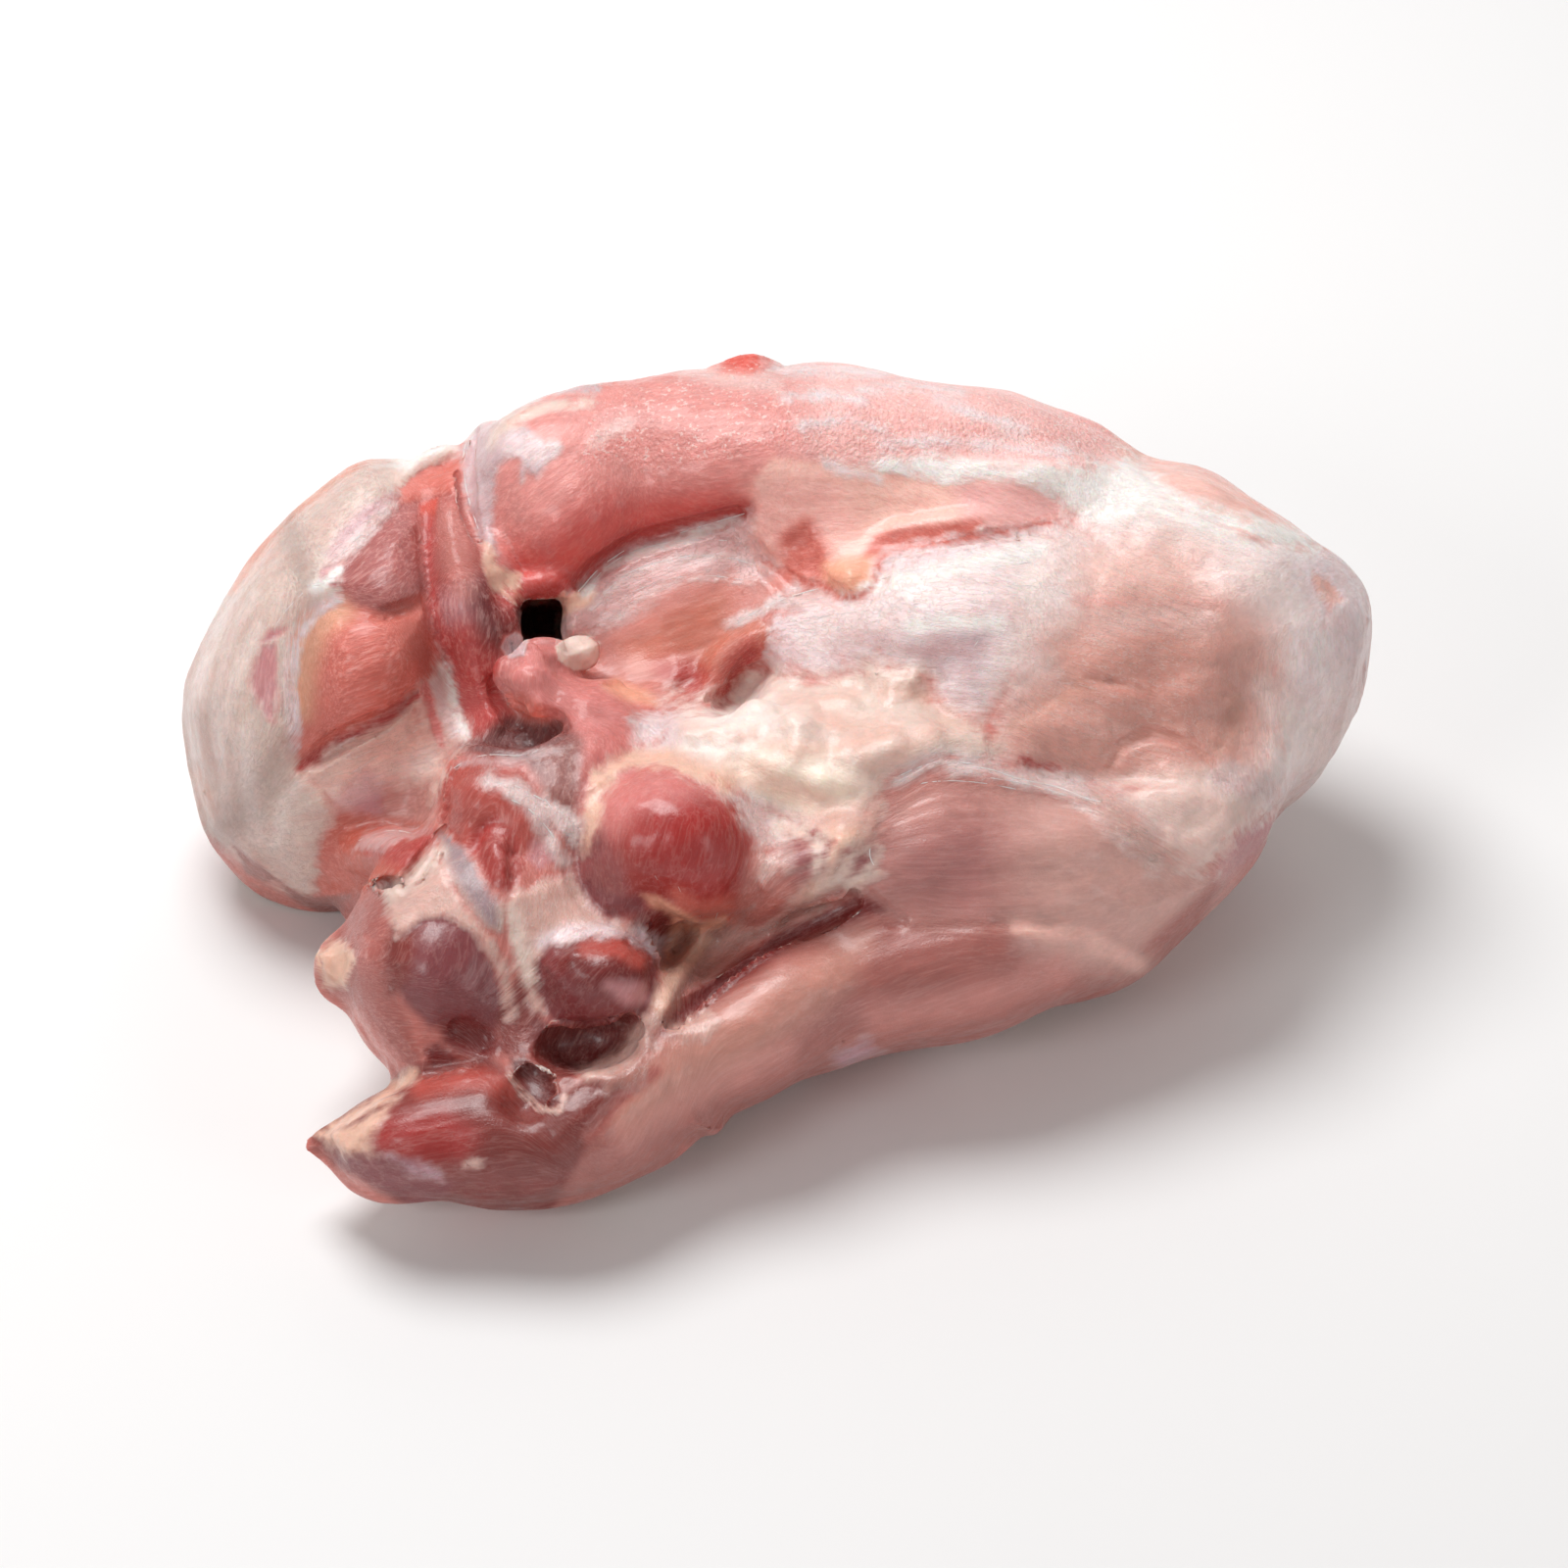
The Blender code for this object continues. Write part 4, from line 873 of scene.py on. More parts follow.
# Painted lines: pixels of the middle line, half width in mm, tissue and softness.
strokes = {
    "coatStreakA": ((204, 720, 214, 660, 240, 600, 268, 562), 1.0, "glow", 2),
    "coatStreakB": ((232, 830, 224, 760, 236, 700, 262, 640), 0.9, "glow", 2),
    "coatStreakC": ((262, 850, 250, 800, 248, 750), 1.4, "glow", 3),
    "coatCream": ((415, 470, 440, 455, 472, 440), 1.6, "bandWhite", 2),
    "coatEdge": ((345, 612, 320, 628, 302, 655, 298, 700, 304, 760), 1.0, "silver", 2),
    "coatShade": ((190, 740, 206, 820, 240, 866, 290, 900), 5.0, "shade", 8),
    "coatYellow": ((202, 792, 212, 812, 216, 828), 0.9, "warmShade", 2),
    "lobeWhite": ((322, 600, 338, 590, 346, 580), 1.0, "bandWhite", 1.2),
    "lobeFilm": ((350, 568, 372, 545, 400, 516), 1.2, "filmWhite", 2),
    # painted shade along the crease under the lower head
    "underLowerHead": ((306, 784, 345, 756, 398, 732, 432, 704), 0.8, "deepRed", 1.6),
    "fanWhiteA": ((444, 696, 452, 725, 464, 748), 0.7, "filmWhite", 1.2),
    "fanWhiteB": ((455, 680, 463, 715, 476, 750), 0.9, "bandWhite", 1.4),
    "fanPink": ((434, 700, 442, 730, 450, 760), 1.0, "pinkRed", 1.4),
    "hairyShade": ((330, 790, 352, 770, 380, 762), 1.4, "shade", 3),
    "hairyGlow": ((350, 812, 392, 790, 430, 776), 2.0, "glow", 4),
    "columnEdge": ((438, 530, 438, 570, 442, 620, 452, 665), 0.5, "columnDeep", 2.2),
    "columnGlow": ((462, 530, 468, 570, 474, 600), 2.0, "blush", 4),
    # painted shade under the top muscle's lower edge
    "headFoot": ((520, 604, 560, 606, 590, 590, 640, 552, 700, 534, 758, 520), 1.6, "deepRed", 4),
    "headCream": ((496, 562, 506, 584, 524, 598), 1.0, "creamWarm", 1.4),
    "headLilac": ((524, 455, 548, 462, 566, 458), 2.0, "silver", 2.4),
    "topWhiteA": ((798, 406, 840, 402, 884, 410), 0.9, "silver", 3.6),
    "topWhiteB": ((820, 434, 862, 428, 902, 437), 0.9, "silver", 3.6),
    "topWhiteC": ((958, 408, 1000, 424, 1046, 438), 0.9, "silver", 3.6),
    "topWhiteD": ((846, 474, 868, 482, 892, 486), 0.9, "silver", 3.6),
    "topWhiteE": ((700, 376, 740, 386, 790, 392), 1.0, "glow", 3),
    # painted glints on the top muscle
    "topDotA": ((606, 452, 622, 440, 640, 432), 1.0, "glow", 2),
    "topWhiteF": ((880, 396, 930, 392, 980, 400), 0.9, "silver", 3.6),
    "topWhiteG": ((900, 452, 960, 450, 1020, 456, 1090, 462), 1.0, "silver", 4),
    "topWhiteH": ((790, 376, 840, 378, 900, 380), 0.9, "silver", 3.6),
    "bandA": ((900, 478, 940, 476, 1000, 482, 1060, 486, 1120, 492), 1.6, "bandWhite", 3),
    "bandB": ((1150, 478, 1200, 512, 1262, 536, 1330, 552), 2.4, "bandWhite", 4),
    "bulgeGlow": ((830, 640, 900, 620, 980, 606, 1060, 590), 3.0, "glow", 6),
    "bulgeLineA": ((930, 640, 970, 634, 1020, 636), 0.8, "bandWhite", 2),
    "bulgeLineB": ((880, 600, 940, 588, 1000, 572, 1060, 560), 1.0, "bandWhite", 2.4),
    "filmFootGlow": ((742, 640, 790, 616, 840, 604), 1.2, "filmWhite", 2),
    "salmonLineA": ((1100, 612, 1160, 618, 1240, 620), 0.9, "blush", 2.4),
    # painted shade along the upper crease
    "salmonLineB": ((1110, 692, 1150, 700, 1182, 708), 0.9, "salmonBrown", 2.4),
    "salmonLineC": ((1036, 742, 1070, 722, 1104, 700), 0.9, "warmShade", 2.4),
    # painted shade along the fold
    "foldLineA": ((1134, 782, 1146, 756, 1180, 746, 1212, 756, 1236, 778), 0.9, "salmonBrown", 2),
    "foldLineB": ((1260, 716, 1262, 742, 1246, 764), 1.0, "warmShade", 2.4),
    "foldWhite": ((1130, 640, 1180, 628, 1230, 634), 1.6, "filmPink", 4),
    "rightStreakA": ((1290, 700, 1310, 740, 1304, 780), 1.6, "glow", 4),
    "rightStreakB": ((1300, 590, 1340, 640, 1360, 700), 2.4, "glow", 6),
    "rightEdge": ((1396, 650, 1386, 710, 1360, 780, 1318, 826), 2.4, "shade", 6),
    "underRight": ((1250, 795, 1296, 806, 1330, 800), 1.8, "filmWhite", 4),
    # painted shade in the small pit
    "redPit": ((1044, 774, 1060, 780, 1080, 785), 0.7, "deepRed", 2.0),
    "pFilmA": ((915, 796, 960, 778, 1010, 786, 1070, 802, 1130, 818), 1.8, "filmWhite", 3),
    "pFilmB": ((1130, 822, 1160, 850, 1180, 880), 1.8, "filmPink", 5),
    "pUnder": ((930, 944, 1000, 946, 1060, 948), 1.0, "shade", 3),
    "saddleFoldA": ((838, 730, 876, 742, 914, 744), 1.1, "warmShade", 2.4),
    "saddleFoldB": ((760, 752, 800, 764, 850, 764, 900, 752), 1.0, "warmShade", 2.6),
    "saddleFoldC": ((740, 792, 800, 802, 850, 826), 1.2, "warmShade", 3),
    "saddleFoldD": ((900, 706, 920, 706, 944, 712), 0.8, "warmShade", 2),
    "saddleFoldE": ((960, 740, 930, 758, 900, 790), 1.2, "warmShade", 3),
    "saddleRimLow": ((606, 800, 640, 776, 680, 776, 740, 800), 1.6, "creamWarm", 3),
    "webLineA": ((800, 842, 836, 858, 834, 890), 1.2, "cream", 3),
    "webLineB": ((872, 870, 852, 900, 836, 924), 1.6, "cream", 3),
    "webLineC": ((896, 872, 884, 892, 862, 906), 1.2, "cream", 3),
    "heartShade": ((600, 905, 622, 928, 650, 922), 1.2, "plum", 3),
    "domeGlow": ((500, 796, 530, 806, 556, 822), 1.6, "filmWhite", 3),
    "domeFilm": ((540, 826, 560, 850, 572, 880), 1.6, "filmWhite", 3),
    # painted shade in the crease between the domes
    "domeCrease": ((484, 866, 492, 848, 506, 838), 0.7, "deepRed", 1.8),
    "sheetLineA": ((446, 868, 424, 890, 396, 912), 1.2, "cream", 2.6),
    "sheetLineB": ((520, 930, 530, 970, 544, 1000), 1.4, "cream", 2.6),
    "sheetLineC": ((556, 962, 580, 952, 620, 950), 1.0, "silver", 2.4),
    "sheetLineD": ((500, 960, 516, 1000, 520, 1036), 1.2, "sheet", 3),
    "knobGlow": ((600, 968, 630, 966, 652, 980), 1.3, "shankRed", 3),
    "footLineA": ((600, 1096, 634, 1078, 660, 1040), 1.6, "sheet", 3),
    "footLineB": ((672, 1024, 684, 1000, 698, 984, 716, 960), 1.2, "creamWarm", 2.6),
    "creviceEdge": ((712, 1000, 760, 962, 810, 934, 856, 912), 1.0, "footPink", 2.4),
    "tipEdge": ((340, 1150, 380, 1128, 424, 1094), 1.2, "creamWarm", 2.6),
    "tipRedLine": ((430, 1110, 480, 1100, 520, 1108), 1.4, "shankRed", 4),
    "bellyStreakB": ((640, 1160, 720, 1110, 800, 1075), 1.6, "blush", 5),
    "bellyStreakC": ((900, 1040, 1000, 1020, 1080, 990), 2.0, "blush", 6),
    "bellyCrease": ((600, 1160, 630, 1124, 668, 1094), 0.8, "shankBrown", 2.4),
    "bellyHem": ((1040, 946, 1100, 954, 1160, 984), 1.2, "salmonPale", 2.6),
    "saddleFoldF": ((700, 742, 735, 752, 770, 748), 1.0, "saddleShade", 2.4),
    "saddleFoldG": ((800, 712, 840, 716, 872, 706), 0.9, "saddleShade", 2.2),
    "saddleFoldH": ((850, 742, 880, 760, 886, 786), 0.9, "saddleShade", 2.2),
    "saddleFoldI": ((690, 770, 740, 778, 790, 780), 0.9, "saddleShade", 2.4),
    "saddleFoldJ": ((930, 704, 956, 722, 980, 742), 1.0, "saddleShade", 2.6),
    "rimUnderPit": ((520, 1096, 532, 1116, 552, 1132, 570, 1134, 576, 1118), 0.7, "sheet", 1.4),
    "flapLine": ((778, 570, 800, 590, 842, 599, 858, 612, 880, 608, 893, 594, 897, 572, 912, 561, 960, 554,
        1020, 543, 1076, 532), 0.45, "salmonRed", 1.6),
    "coatGreyA": ((190, 700, 204, 650, 232, 600, 266, 556), 1.2, "coatGrey", 3),
    "coatGreyB": ((216, 800, 212, 740, 226, 680, 256, 620), 0.9, "coatGrey", 3),
    "coatGreyC": ((246, 850, 238, 800, 240, 760), 0.9, "coatGrey", 3),
    "coatGreyD": ((270, 836, 276, 790, 286, 750), 0.8, "coatGrey", 3),
    "coatStreakD": ((224, 770, 218, 720, 232, 660, 260, 606), 0.7, "glow", 1.6),
    "coatStreakE": ((200, 770, 196, 720, 210, 670), 0.7, "glow", 1.6),
    "coatStreakF": ((282, 860, 290, 820, 304, 800), 1.0, "glow", 2),
    "coatOrange": ((236, 596, 262, 562, 290, 526, 330, 494), 1.2, "coatWarm", 3),
    "coatOrangeTop": ((340, 486, 375, 468, 410, 450), 1.0, "coatWarm", 2.4),
    "filmArcA": ((596, 606, 618, 580, 652, 563, 700, 552, 758, 530), 0.35, "bandWhite", 1.0),
    "filmArcB": ((604, 620, 636, 590, 686, 571, 740, 566, 786, 580), 0.3, "filmWhite", 1.0),
    "filmArcC": ((640, 570, 700, 545, 760, 526), 0.25, "bandWhite", 0.9),
    "filmArcD": ((620, 640, 660, 606, 712, 590, 770, 596), 0.25, "filmWhite", 0.9),
}

# Larger swellings of the cut side: outline in pixels, height and width of the slope in mm.
swells = {
    "topMuscle": ((474, 434, 505, 410, 560, 394, 610, 376, 660, 366, 780, 356, 900, 366, 1020, 382,
        1160, 448, 1180, 490, 1095, 520, 1060, 532, 1000, 540, 940, 552, 905, 558, 888, 572, 886, 590,
        878, 604, 860, 606, 845, 592, 812, 590, 795, 575, 776, 565, 768, 545, 766, 515, 745, 527, 700, 538,
        650, 552, 612, 575, 582, 605, 565, 613, 540, 617, 520, 608, 500, 590, 494, 565, 486, 540, 476, 515,
        472, 480), 3.0, 14),
    "foldUpper": ((1110, 700, 1150, 690, 1210, 698, 1262, 716, 1266, 760, 1230, 770, 1170, 745,
        1120, 730), 1.6, 7),
    "foldLower": ((1130, 790, 1142, 762, 1180, 750, 1216, 760, 1242, 790, 1200, 802), 1.2, 9),
    "foldLeft": ((1036, 736, 1080, 712, 1130, 728, 1140, 756, 1120, 780, 1070, 774), 1.4, 8),
}

skinPaint = {
    "frontFrom": -0.10,      # facing at which the painting of the cut side starts and is whole
    "frontWhole": 0.16,
    "flesh": (206, 122, 112),
    "cover": (234, 212, 205),
    "field": -4.0,           # above 0 the cover lies on the flesh
    "opacity": 0.8,
    "silk": 0.5,
    "edge": (-0.8, 0.25),    # of the softness: where the edge of a patch starts and is whole
    "coverEdge": (-0.9, 0.3),
    "coverSpread": 0.4,      # mm by which a cover starts further out
    "reach": 60,             # pixels round a patch within which it is painted
    "swellReach": 4,
    "pebbleEdge": (-2.0, 3.0),       # mm past the outline where it starts and is whole
    "underEdge": (-2.0, 6.0),
    "wetEdge": (0.0, 3.0),
    "fibreEdge": (-3.0, 3.0),
    # the pebbled places, which also carry painted glints
    "pebbled": ("topPale", "topRight", "headShine"),
    "pebbleUnder": 0.8,      # how much of the pebbling the top muscle's underside loses
    "wet": ("pool",),
    "liveFibre": 0.6,        # how much stronger the fibres are in the lively patches
    "lively": ("upperHead", "lowerHead", "column"),
    "calmFibre": 0.6,        # how much weaker they are in the calm ones
    "calm": ("belly", "pMuscle", "heart", "tip", "purpleOval", "knob", "headUndersideShade", "filmMuscle"),
}


def linearColour(colour):
    tone = np.array(colour, float) / 255.0
    return np.where(tone <= 0.04045, tone / 12.92, ((tone + 0.055) / 1.055) ** 2.4)


def frontOf(co, normals):
    # 1 on the cut side, 0 on the sides that it hides
    return smoothStep(skinPaint["frontFrom"], skinPaint["frontWhole"], facingOf(co, normals))


def swollen(depth, height, width):
    return height * (1.0 - (1.0 - np.clip(depth / width, 0.0, 1.0)) ** 2)


def paintFront(pixels):
    # lays every patch over the ones before it and returns the colours, the cover's edge and the relief
    count = len(pixels)
    paint = {name: np.tile(linearColour(skinPaint[name]), (count, 1)) for name in ("flesh", "cover")}
    paint.update({name: np.full(count, skinPaint[name]) for name in ("field", "opacity", "silk")})
    paint["relief"] = np.zeros(count)
    marks = [(None, *patch) for patch in patches.values()]
    marks += [(wide, path, tissue, soft) for path, wide, tissue, soft in strokes.values()]
    for wide, outline, tissue, soft, *bulge in marks:
        kind, colour, *cover = tissues[tissue]
        near = nearOutline(pixels, outline, skinPaint["reach"])
        if not len(near):
            continue
        if wide is None:
            depth = insideOutline(pixels[near], outline)
        else:
            depth = wide - lineDistance(pixels[near], outline)
        share = smoothStep(skinPaint["edge"][0] * soft, skinPaint["edge"][1] * soft, depth)
        if kind == "tint":
            share = (share * cover[0])[:, None]
            for layer in ("flesh", "cover"):
                paint[layer][near] += share * (linearColour(colour) - paint[layer][near])
        elif kind == "cover":
            low, high = skinPaint["coverEdge"]
            share = smoothStep(low * soft - skinPaint["coverSpread"], high * soft, depth)
            paint["cover"][near] += share[:, None] * (linearColour(colour) - paint["cover"][near])
            for layer, value in zip(("opacity", "silk"), cover):
                paint[layer][near] += share * (value - paint[layer][near])
            paint["field"][near] = np.maximum(paint["field"][near], depth / soft)
        else:
            paint["flesh"][near] += share[:, None] * (linearColour(colour) - paint["flesh"][near])
            paint["field"][near] = np.minimum(paint["field"][near], -depth / soft)
        if bulge:
            paint["relief"][near] += swollen(depth, *bulge)
    for outline, height, width in swells.values():
        near = nearOutline(pixels, outline, skinPaint["swellReach"])
        paint["relief"][near] += swollen(insideOutline(pixels[near], outline), height, width)
    return paint


# Which way the fibres run on the cut side: middle in pixels, reach in pixels, and the angle on the picture.
grainFields = {
    "leftCoat": ((240, 680), 90, 80),
    "upperHead": ((390, 570), 60, 50),
    "lowerHead": ((370, 680), 70, 20),
    "lobeLow": ((390, 810), 90, 15),
    "column": ((470, 630), 60, 85),
    "headLeft": ((560, 480), 110, 35),
    "headMiddle": ((720, 440), 120, 8),
    "headRight": ((960, 430), 160, -14),
    "farRight": ((1220, 540), 120, -24),
    "filmMuscle": ((690, 600), 90, 18),
    "flap": ((880, 540), 110, 4),
    "bulge": ((960, 640), 110, -6),
    "salmon": ((1160, 700), 120, -16),
    "end": ((1340, 700), 100, -75),
    "saddle": ((830, 760), 110, -20),
    "heart": ((690, 860), 90, 78),
    "pMuscle": ((1020, 870), 120, 6),
    "belly": ((900, 1040), 170, 24),
    "shank": ((520, 900), 110, 82),
    "foot": ((600, 1060), 90, 60),
    "tip": ((440, 1170), 110, 10),
}
grainShape = {
    "stretch": 6.5,          # how much longer than wide the fibres are
    "falloff": 3.0,
}


def grainPlaces(co):
    # places squeezed along the fibres, in mm, so that noise read there is drawn out into fibres
    place, pixels = toEasel(co), toPixels(co)
    total = np.zeros(len(co))
    grain = np.zeros((len(co), 3))
    for middle, reach, angle in grainFields.values():
        far = np.linalg.norm(pixels - np.array(middle, float), axis=1) / reach
        weight = np.exp(-far * far * grainShape["falloff"]) + 1e-9 / (1.0 + far ** 4)
        way = np.array((math.cos(math.radians(angle)), math.sin(math.radians(angle)), 0.0))
        along = place @ way
        grain += weight[:, None] * (place - (1.0 - 1.0 / grainShape["stretch"]) * along[:, None] * way)
        total += weight
    return grain / total[:, None]


# Valleys between the muscles of the sides that the picture doesn't show: the side, places on it in mm, half
# width and depth. A place is x, z on the back, x, y on the top and y, z on the right end.
seams = {
    "backLong": ("back", (-118, 48, -84, 42, -40, 46, 0, 40, 48, 36, 90, 42, 120, 56), 8, 3.2),
    "backUpper": ("back", (-70, 72, -36, 78, 6, 74, 52, 72, 96, 78), 7, 2.2),
    "backCross": ("back", (-84, 42, -66, 58, -58, 80), 7, 2.6),
    "backLow": ("back", (-30, 14, 14, 20, 62, 16), 8, 2.0),
    "topLong": ("top", (-40, 78, 0, 70, 46, 66, 92, 58), 7, 2.0),
    "topCross": ("top", (-72, 40, -62, 66, -58, 88), 7, 2.4),
    "rightEnd": ("right", (-20, 44, 10, 40, 44, 46, 70, 40), 7, 2.0),
}
seamSides = {                # axes of a place, the axis that it faces, and from where along it in metres
    "back": ((0, 2), 1, 0.02),
    "top": ((0, 1), 2, 0.04),
    "right": ((1, 2), 0, 0.02),
}


def seamDistance(co, seam):
    # distance in mm to a valley as its side is looked at, far where the skin lies on another side
    axes, away, limit = seamSides[seam[0]]
    far = lineDistance(co[:, list(axes)] * 1000.0, seam[1]) / easel["mmPerPixel"]
    return far + 1e3 * (co[:, away] < limit)


relief = {                   # noises: size in metres, seed and height in mm
    "sink": 1.6,             # mm by which the cut side is let in first, so that the swelling keeps its size
    "lumps": (0.0072, 3, 1.5),
    "smallLumps": (0.0026, 6, 0.3),
    "rolling": (0.016, 9, 0.7),
    "bundles": (0.0019, 4, 0.24),
    "calmOnFat": 0.7,        # how much weaker the bundles are on the fat
    "fatEdge": (-0.5, 0.5),
}


def heightOf(name, co):
    size, seed, height = relief[name]
    return unevenness(co, size, seed) * height


def reliefOf(piece):
    # swells the muscles and the fat of the cut side, and lets the valleys in on the others
    co, normals = placesOf(piece)
    front = frontOf(co, normals)
    paint = paintFront(toPixels(co))
    push = paint["relief"] - relief["sink"]
    fat = smoothStep(*relief["fatEdge"], paint["field"]) * (1.0 - paint["silk"])
    lumps = (heightOf("lumps", co) + heightOf("smallLumps", co)) * fat
    size, seed, height = relief["bundles"]
    bundles = unevenness(grainPlaces(co) / 1000.0, size, seed)
    bundles *= height * (1.0 - relief["calmOnFat"] * fat) * front
    for seam in seams.values():
        lumps -= (1.0 - front) * seam[3] * np.exp(-(seamDistance(co, seam) / seam[2]) ** 2)
    heights = push * front + lumps + heightOf("rolling", co) + bundles
    setPlaces(piece, co + normals * (heights / 1000.0)[:, None])


def spareBack(piece):
    # thins the mesh, and most of all where the cut side isn't
    away = 1.0 - smoothStep(skinShape["spareWhole"], skinShape["spareFrom"], facingOf(*placesOf(piece)))
    group = piece.vertex_groups.new(name="away")
    levels = skinShape["spareLevels"]
    for level in range(levels + 1):
        picked = np.nonzero(np.round(away * levels) == level)[0]
        group.add(picked.tolist(), max(level / levels, skinShape["spareLeast"]), "REPLACE")
    triangles = sum(len(face.vertices) - 2 for face in piece.data.polygons)
    thin = piece.modifiers.new("spareBack", "DECIMATE")
    thin.ratio = min(1.0, skinShape["mostTriangles"] / triangles)
    thin.vertex_group = group.name
    thin.vertex_group_factor = skinShape["spareFirst"]
    thin.use_collapse_triangulate = True
    applyAll(piece)
    piece.vertex_groups.clear()


backPaint = {                # noises: size in metres and seed
    "wide": (0.034, 1),
    "fine": (0.011, 2),
    "warm": (0.022, 5),
    "warmEdge": (-0.5, 0.5),
    "fineShare": 0.3,
    "coverShare": 0.06,
    "coverField": 1.2,       # cover edge for each unit of its noise
    "coverInSeams": 1.2,
    "seamReach": (1.0, 9.0),
    "flesh": ((222, 146, 138), (200, 108, 100)),
    "cover": ((236, 214, 212), (236, 216, 200)),
    "opacity": 0.7,
    "silk": 0.7,
}


def writeAttribute(piece, name, kind, values):
    layer = piece.data.attributes.get(name) or piece.data.attributes.new(name, kind, "POINT")
    if kind == "FLOAT_COLOR":
        values = np.column_stack((values, np.ones(len(values))))
    what = "color" if kind == "FLOAT_COLOR" else "vector"
    layer.data.foreach_set(what, values.astype(np.float32).ravel())


def patchShares(pixels, names, edge):
    # how far each place is inside each of the named patches, from 0 to 1
    return [smoothStep(*skinPaint[edge], insideOutline(pixels, patches[name][0])) for name in names]


def paintSkin(piece):
    co, normals = placesOf(piece)
    pixels = toPixels(co)
    front = frontOf(co, normals)
    paint = paintFront(pixels)
    wide, fine, warm = (unevenness(co, *backPaint[name]) for name in ("wide", "fine", "warm"))
    backField = (wide + backPaint["fineShare"] * fine + backPaint["coverShare"]) * backPaint["coverField"]
    groove = np.minimum.reduce([seamDistance(co, seam) for seam in seams.values()])
    backField += backPaint["coverInSeams"] * (1.0 - smoothStep(*backPaint["seamReach"], groove))
    warm = smoothStep(*backPaint["warmEdge"], warm)[:, None]
    mix = front[:, None]
    for layer in ("flesh", "cover"):
        cool, hot = backPaint[layer]
        back = linearColour(cool) * (1 - warm) + linearColour(hot) * warm
        writeAttribute(piece, layer + "Colour", "FLOAT_COLOR", paint[layer] * mix + back * (1 - mix))
    tissue = np.column_stack((
        paint["field"] * front + backField * (1 - front),
        paint["opacity"] * front + backPaint["opacity"] * (1 - front),
        paint["silk"] * front + backPaint["silk"] * (1 - front),
    ))
    writeAttribute(piece, "tissue", "FLOAT_VECTOR", tissue)
    writeAttribute(piece, "grain", "FLOAT_VECTOR", grainPlaces(co))
    calm = np.maximum.reduce(patchShares(pixels, skinPaint["calm"], "fibreEdge"))
    lively = np.maximum.reduce(patchShares(pixels, skinPaint["lively"], "fibreEdge"))
    fibres = 1.0 + (skinPaint["liveFibre"] * lively - skinPaint["calmFibre"] * calm) * front
    under = patchShares(pixels, ("headUndersideShade",), "underEdge")[0]
    pebble = np.clip(sum(patchShares(pixels, skinPaint["pebbled"], "pebbleEdge")), 0.0, 1.0)
    pebble *= 1.0 - skinPaint["pebbleUnder"] * under
    wet = sum(patchShares(pixels, skinPaint["wet"], "wetEdge"))
    surface = np.column_stack((fibres, pebble * front, wet * front))
    writeAttribute(piece, "surface", "FLOAT_VECTOR", surface)


# Fine white strands that lie on the skin: pixels of each and its half width in mm.
strands = {
    "filmArcTop": ((600, 600, 620, 576, 650, 560, 700, 550, 750, 552), 0.26),
    "filmArcMiddle": ((610, 612, 640, 582, 700, 566, 742, 568, 782, 580), 0.22),
    "filmArcLow": ((640, 606, 680, 590, 720, 586, 760, 592), 0.14),
    "filmCross": ((690, 545, 726, 534, 760, 524), 0.2),
    "filmFoot": ((744, 640, 770, 625, 800, 610, 838, 600), 0.26),
    "filmEdge": ((590, 604, 612, 578, 640, 560), 0.24),
    "heartA": ((640, 812, 654, 830, 660, 850, 664, 884), 0.12),
    "heartB": ((733, 838, 734, 858, 731, 882), 0.1),
    "heartC": ((728, 890, 720, 914, 714, 936), 0.12),
    "heartD": ((748, 892, 739, 914, 730, 938), 0.11),
    "heartE": ((652, 856, 660, 880, 672, 900), 0.08),
    "heartF": ((690, 900, 698, 918, 708, 932), 0.08),
    "domeRim": ((460, 786, 480, 772, 510, 769, 530, 773, 560, 762), 0.16),
    "domeWeb": ((506, 800, 520, 798, 545, 812, 566, 822), 0.3),
    "domeWebLow": ((512, 812, 540, 824, 560, 846, 572, 866), 0.26),
    "domeWebCross": ((552, 810, 572, 836, 586, 862), 0.24),
    "pStrandA": ((912, 794, 938, 782, 965, 777, 1000, 780), 0.34),
    "pStrandB": ((985, 782, 1010, 784, 1040, 796, 1080, 802, 1110, 816, 1132, 820), 0.32),
    "pStrandC": ((925, 802, 960, 796, 1000, 798, 1040, 806), 0.26),
    "pStrandD": ((1000, 792, 1050, 800, 1090, 812), 0.2),
    "bulgeA": ((800, 640, 850, 626, 900, 622, 960, 612), 0.18),
    "bulgeB": ((960, 690, 985, 672, 1000, 652, 1004, 640), 0.24),
    "bulgeC": ((940, 650, 965, 642, 1000, 640, 1040, 650), 0.18),
    "bulgeD": ((900, 590, 950, 578, 1010, 580, 1060, 572), 0.16),
    "bulgeE": ((1010, 600, 1060, 596, 1100, 610), 0.16),
    "coatA": ((250, 800, 262, 760, 272, 730), 0.2),
    "coatB": ((222, 790, 234, 745, 240, 700), 0.18),
    "coatC": ((300, 600, 315, 596, 330, 598, 342, 592), 0.36),
    "coatD": ((340, 575, 360, 552, 385, 530), 0.28),
    "coatE": ((280, 640, 292, 622, 310, 604), 0.22),
    "coatF": ((352, 560, 378, 538, 396, 520), 0.18),
    "headEdge": ((474, 448, 472, 478, 478, 512, 490, 545), 0.2),
    "webA": ((820, 850, 835, 866, 838, 884), 0.26),
    "webB": ((876, 846, 866, 868, 852, 888), 0.26),
    "webC": ((892, 852, 884, 872, 896, 890), 0.2),
    "lobeA": ((340, 800, 370, 782, 402, 760, 430, 742), 0.14),
    "lobeB": ((330, 790, 356, 776, 392, 760), 0.12),
    "crackA": ((365, 858, 385, 850, 402, 846, 420, 850), 0.18),
}
strandShape = {
    "width": 0.85,           # of the half width
    "sunk": 0.75,
    "step": 9.0,             # pixels between its points
    "roundings": 2,
}


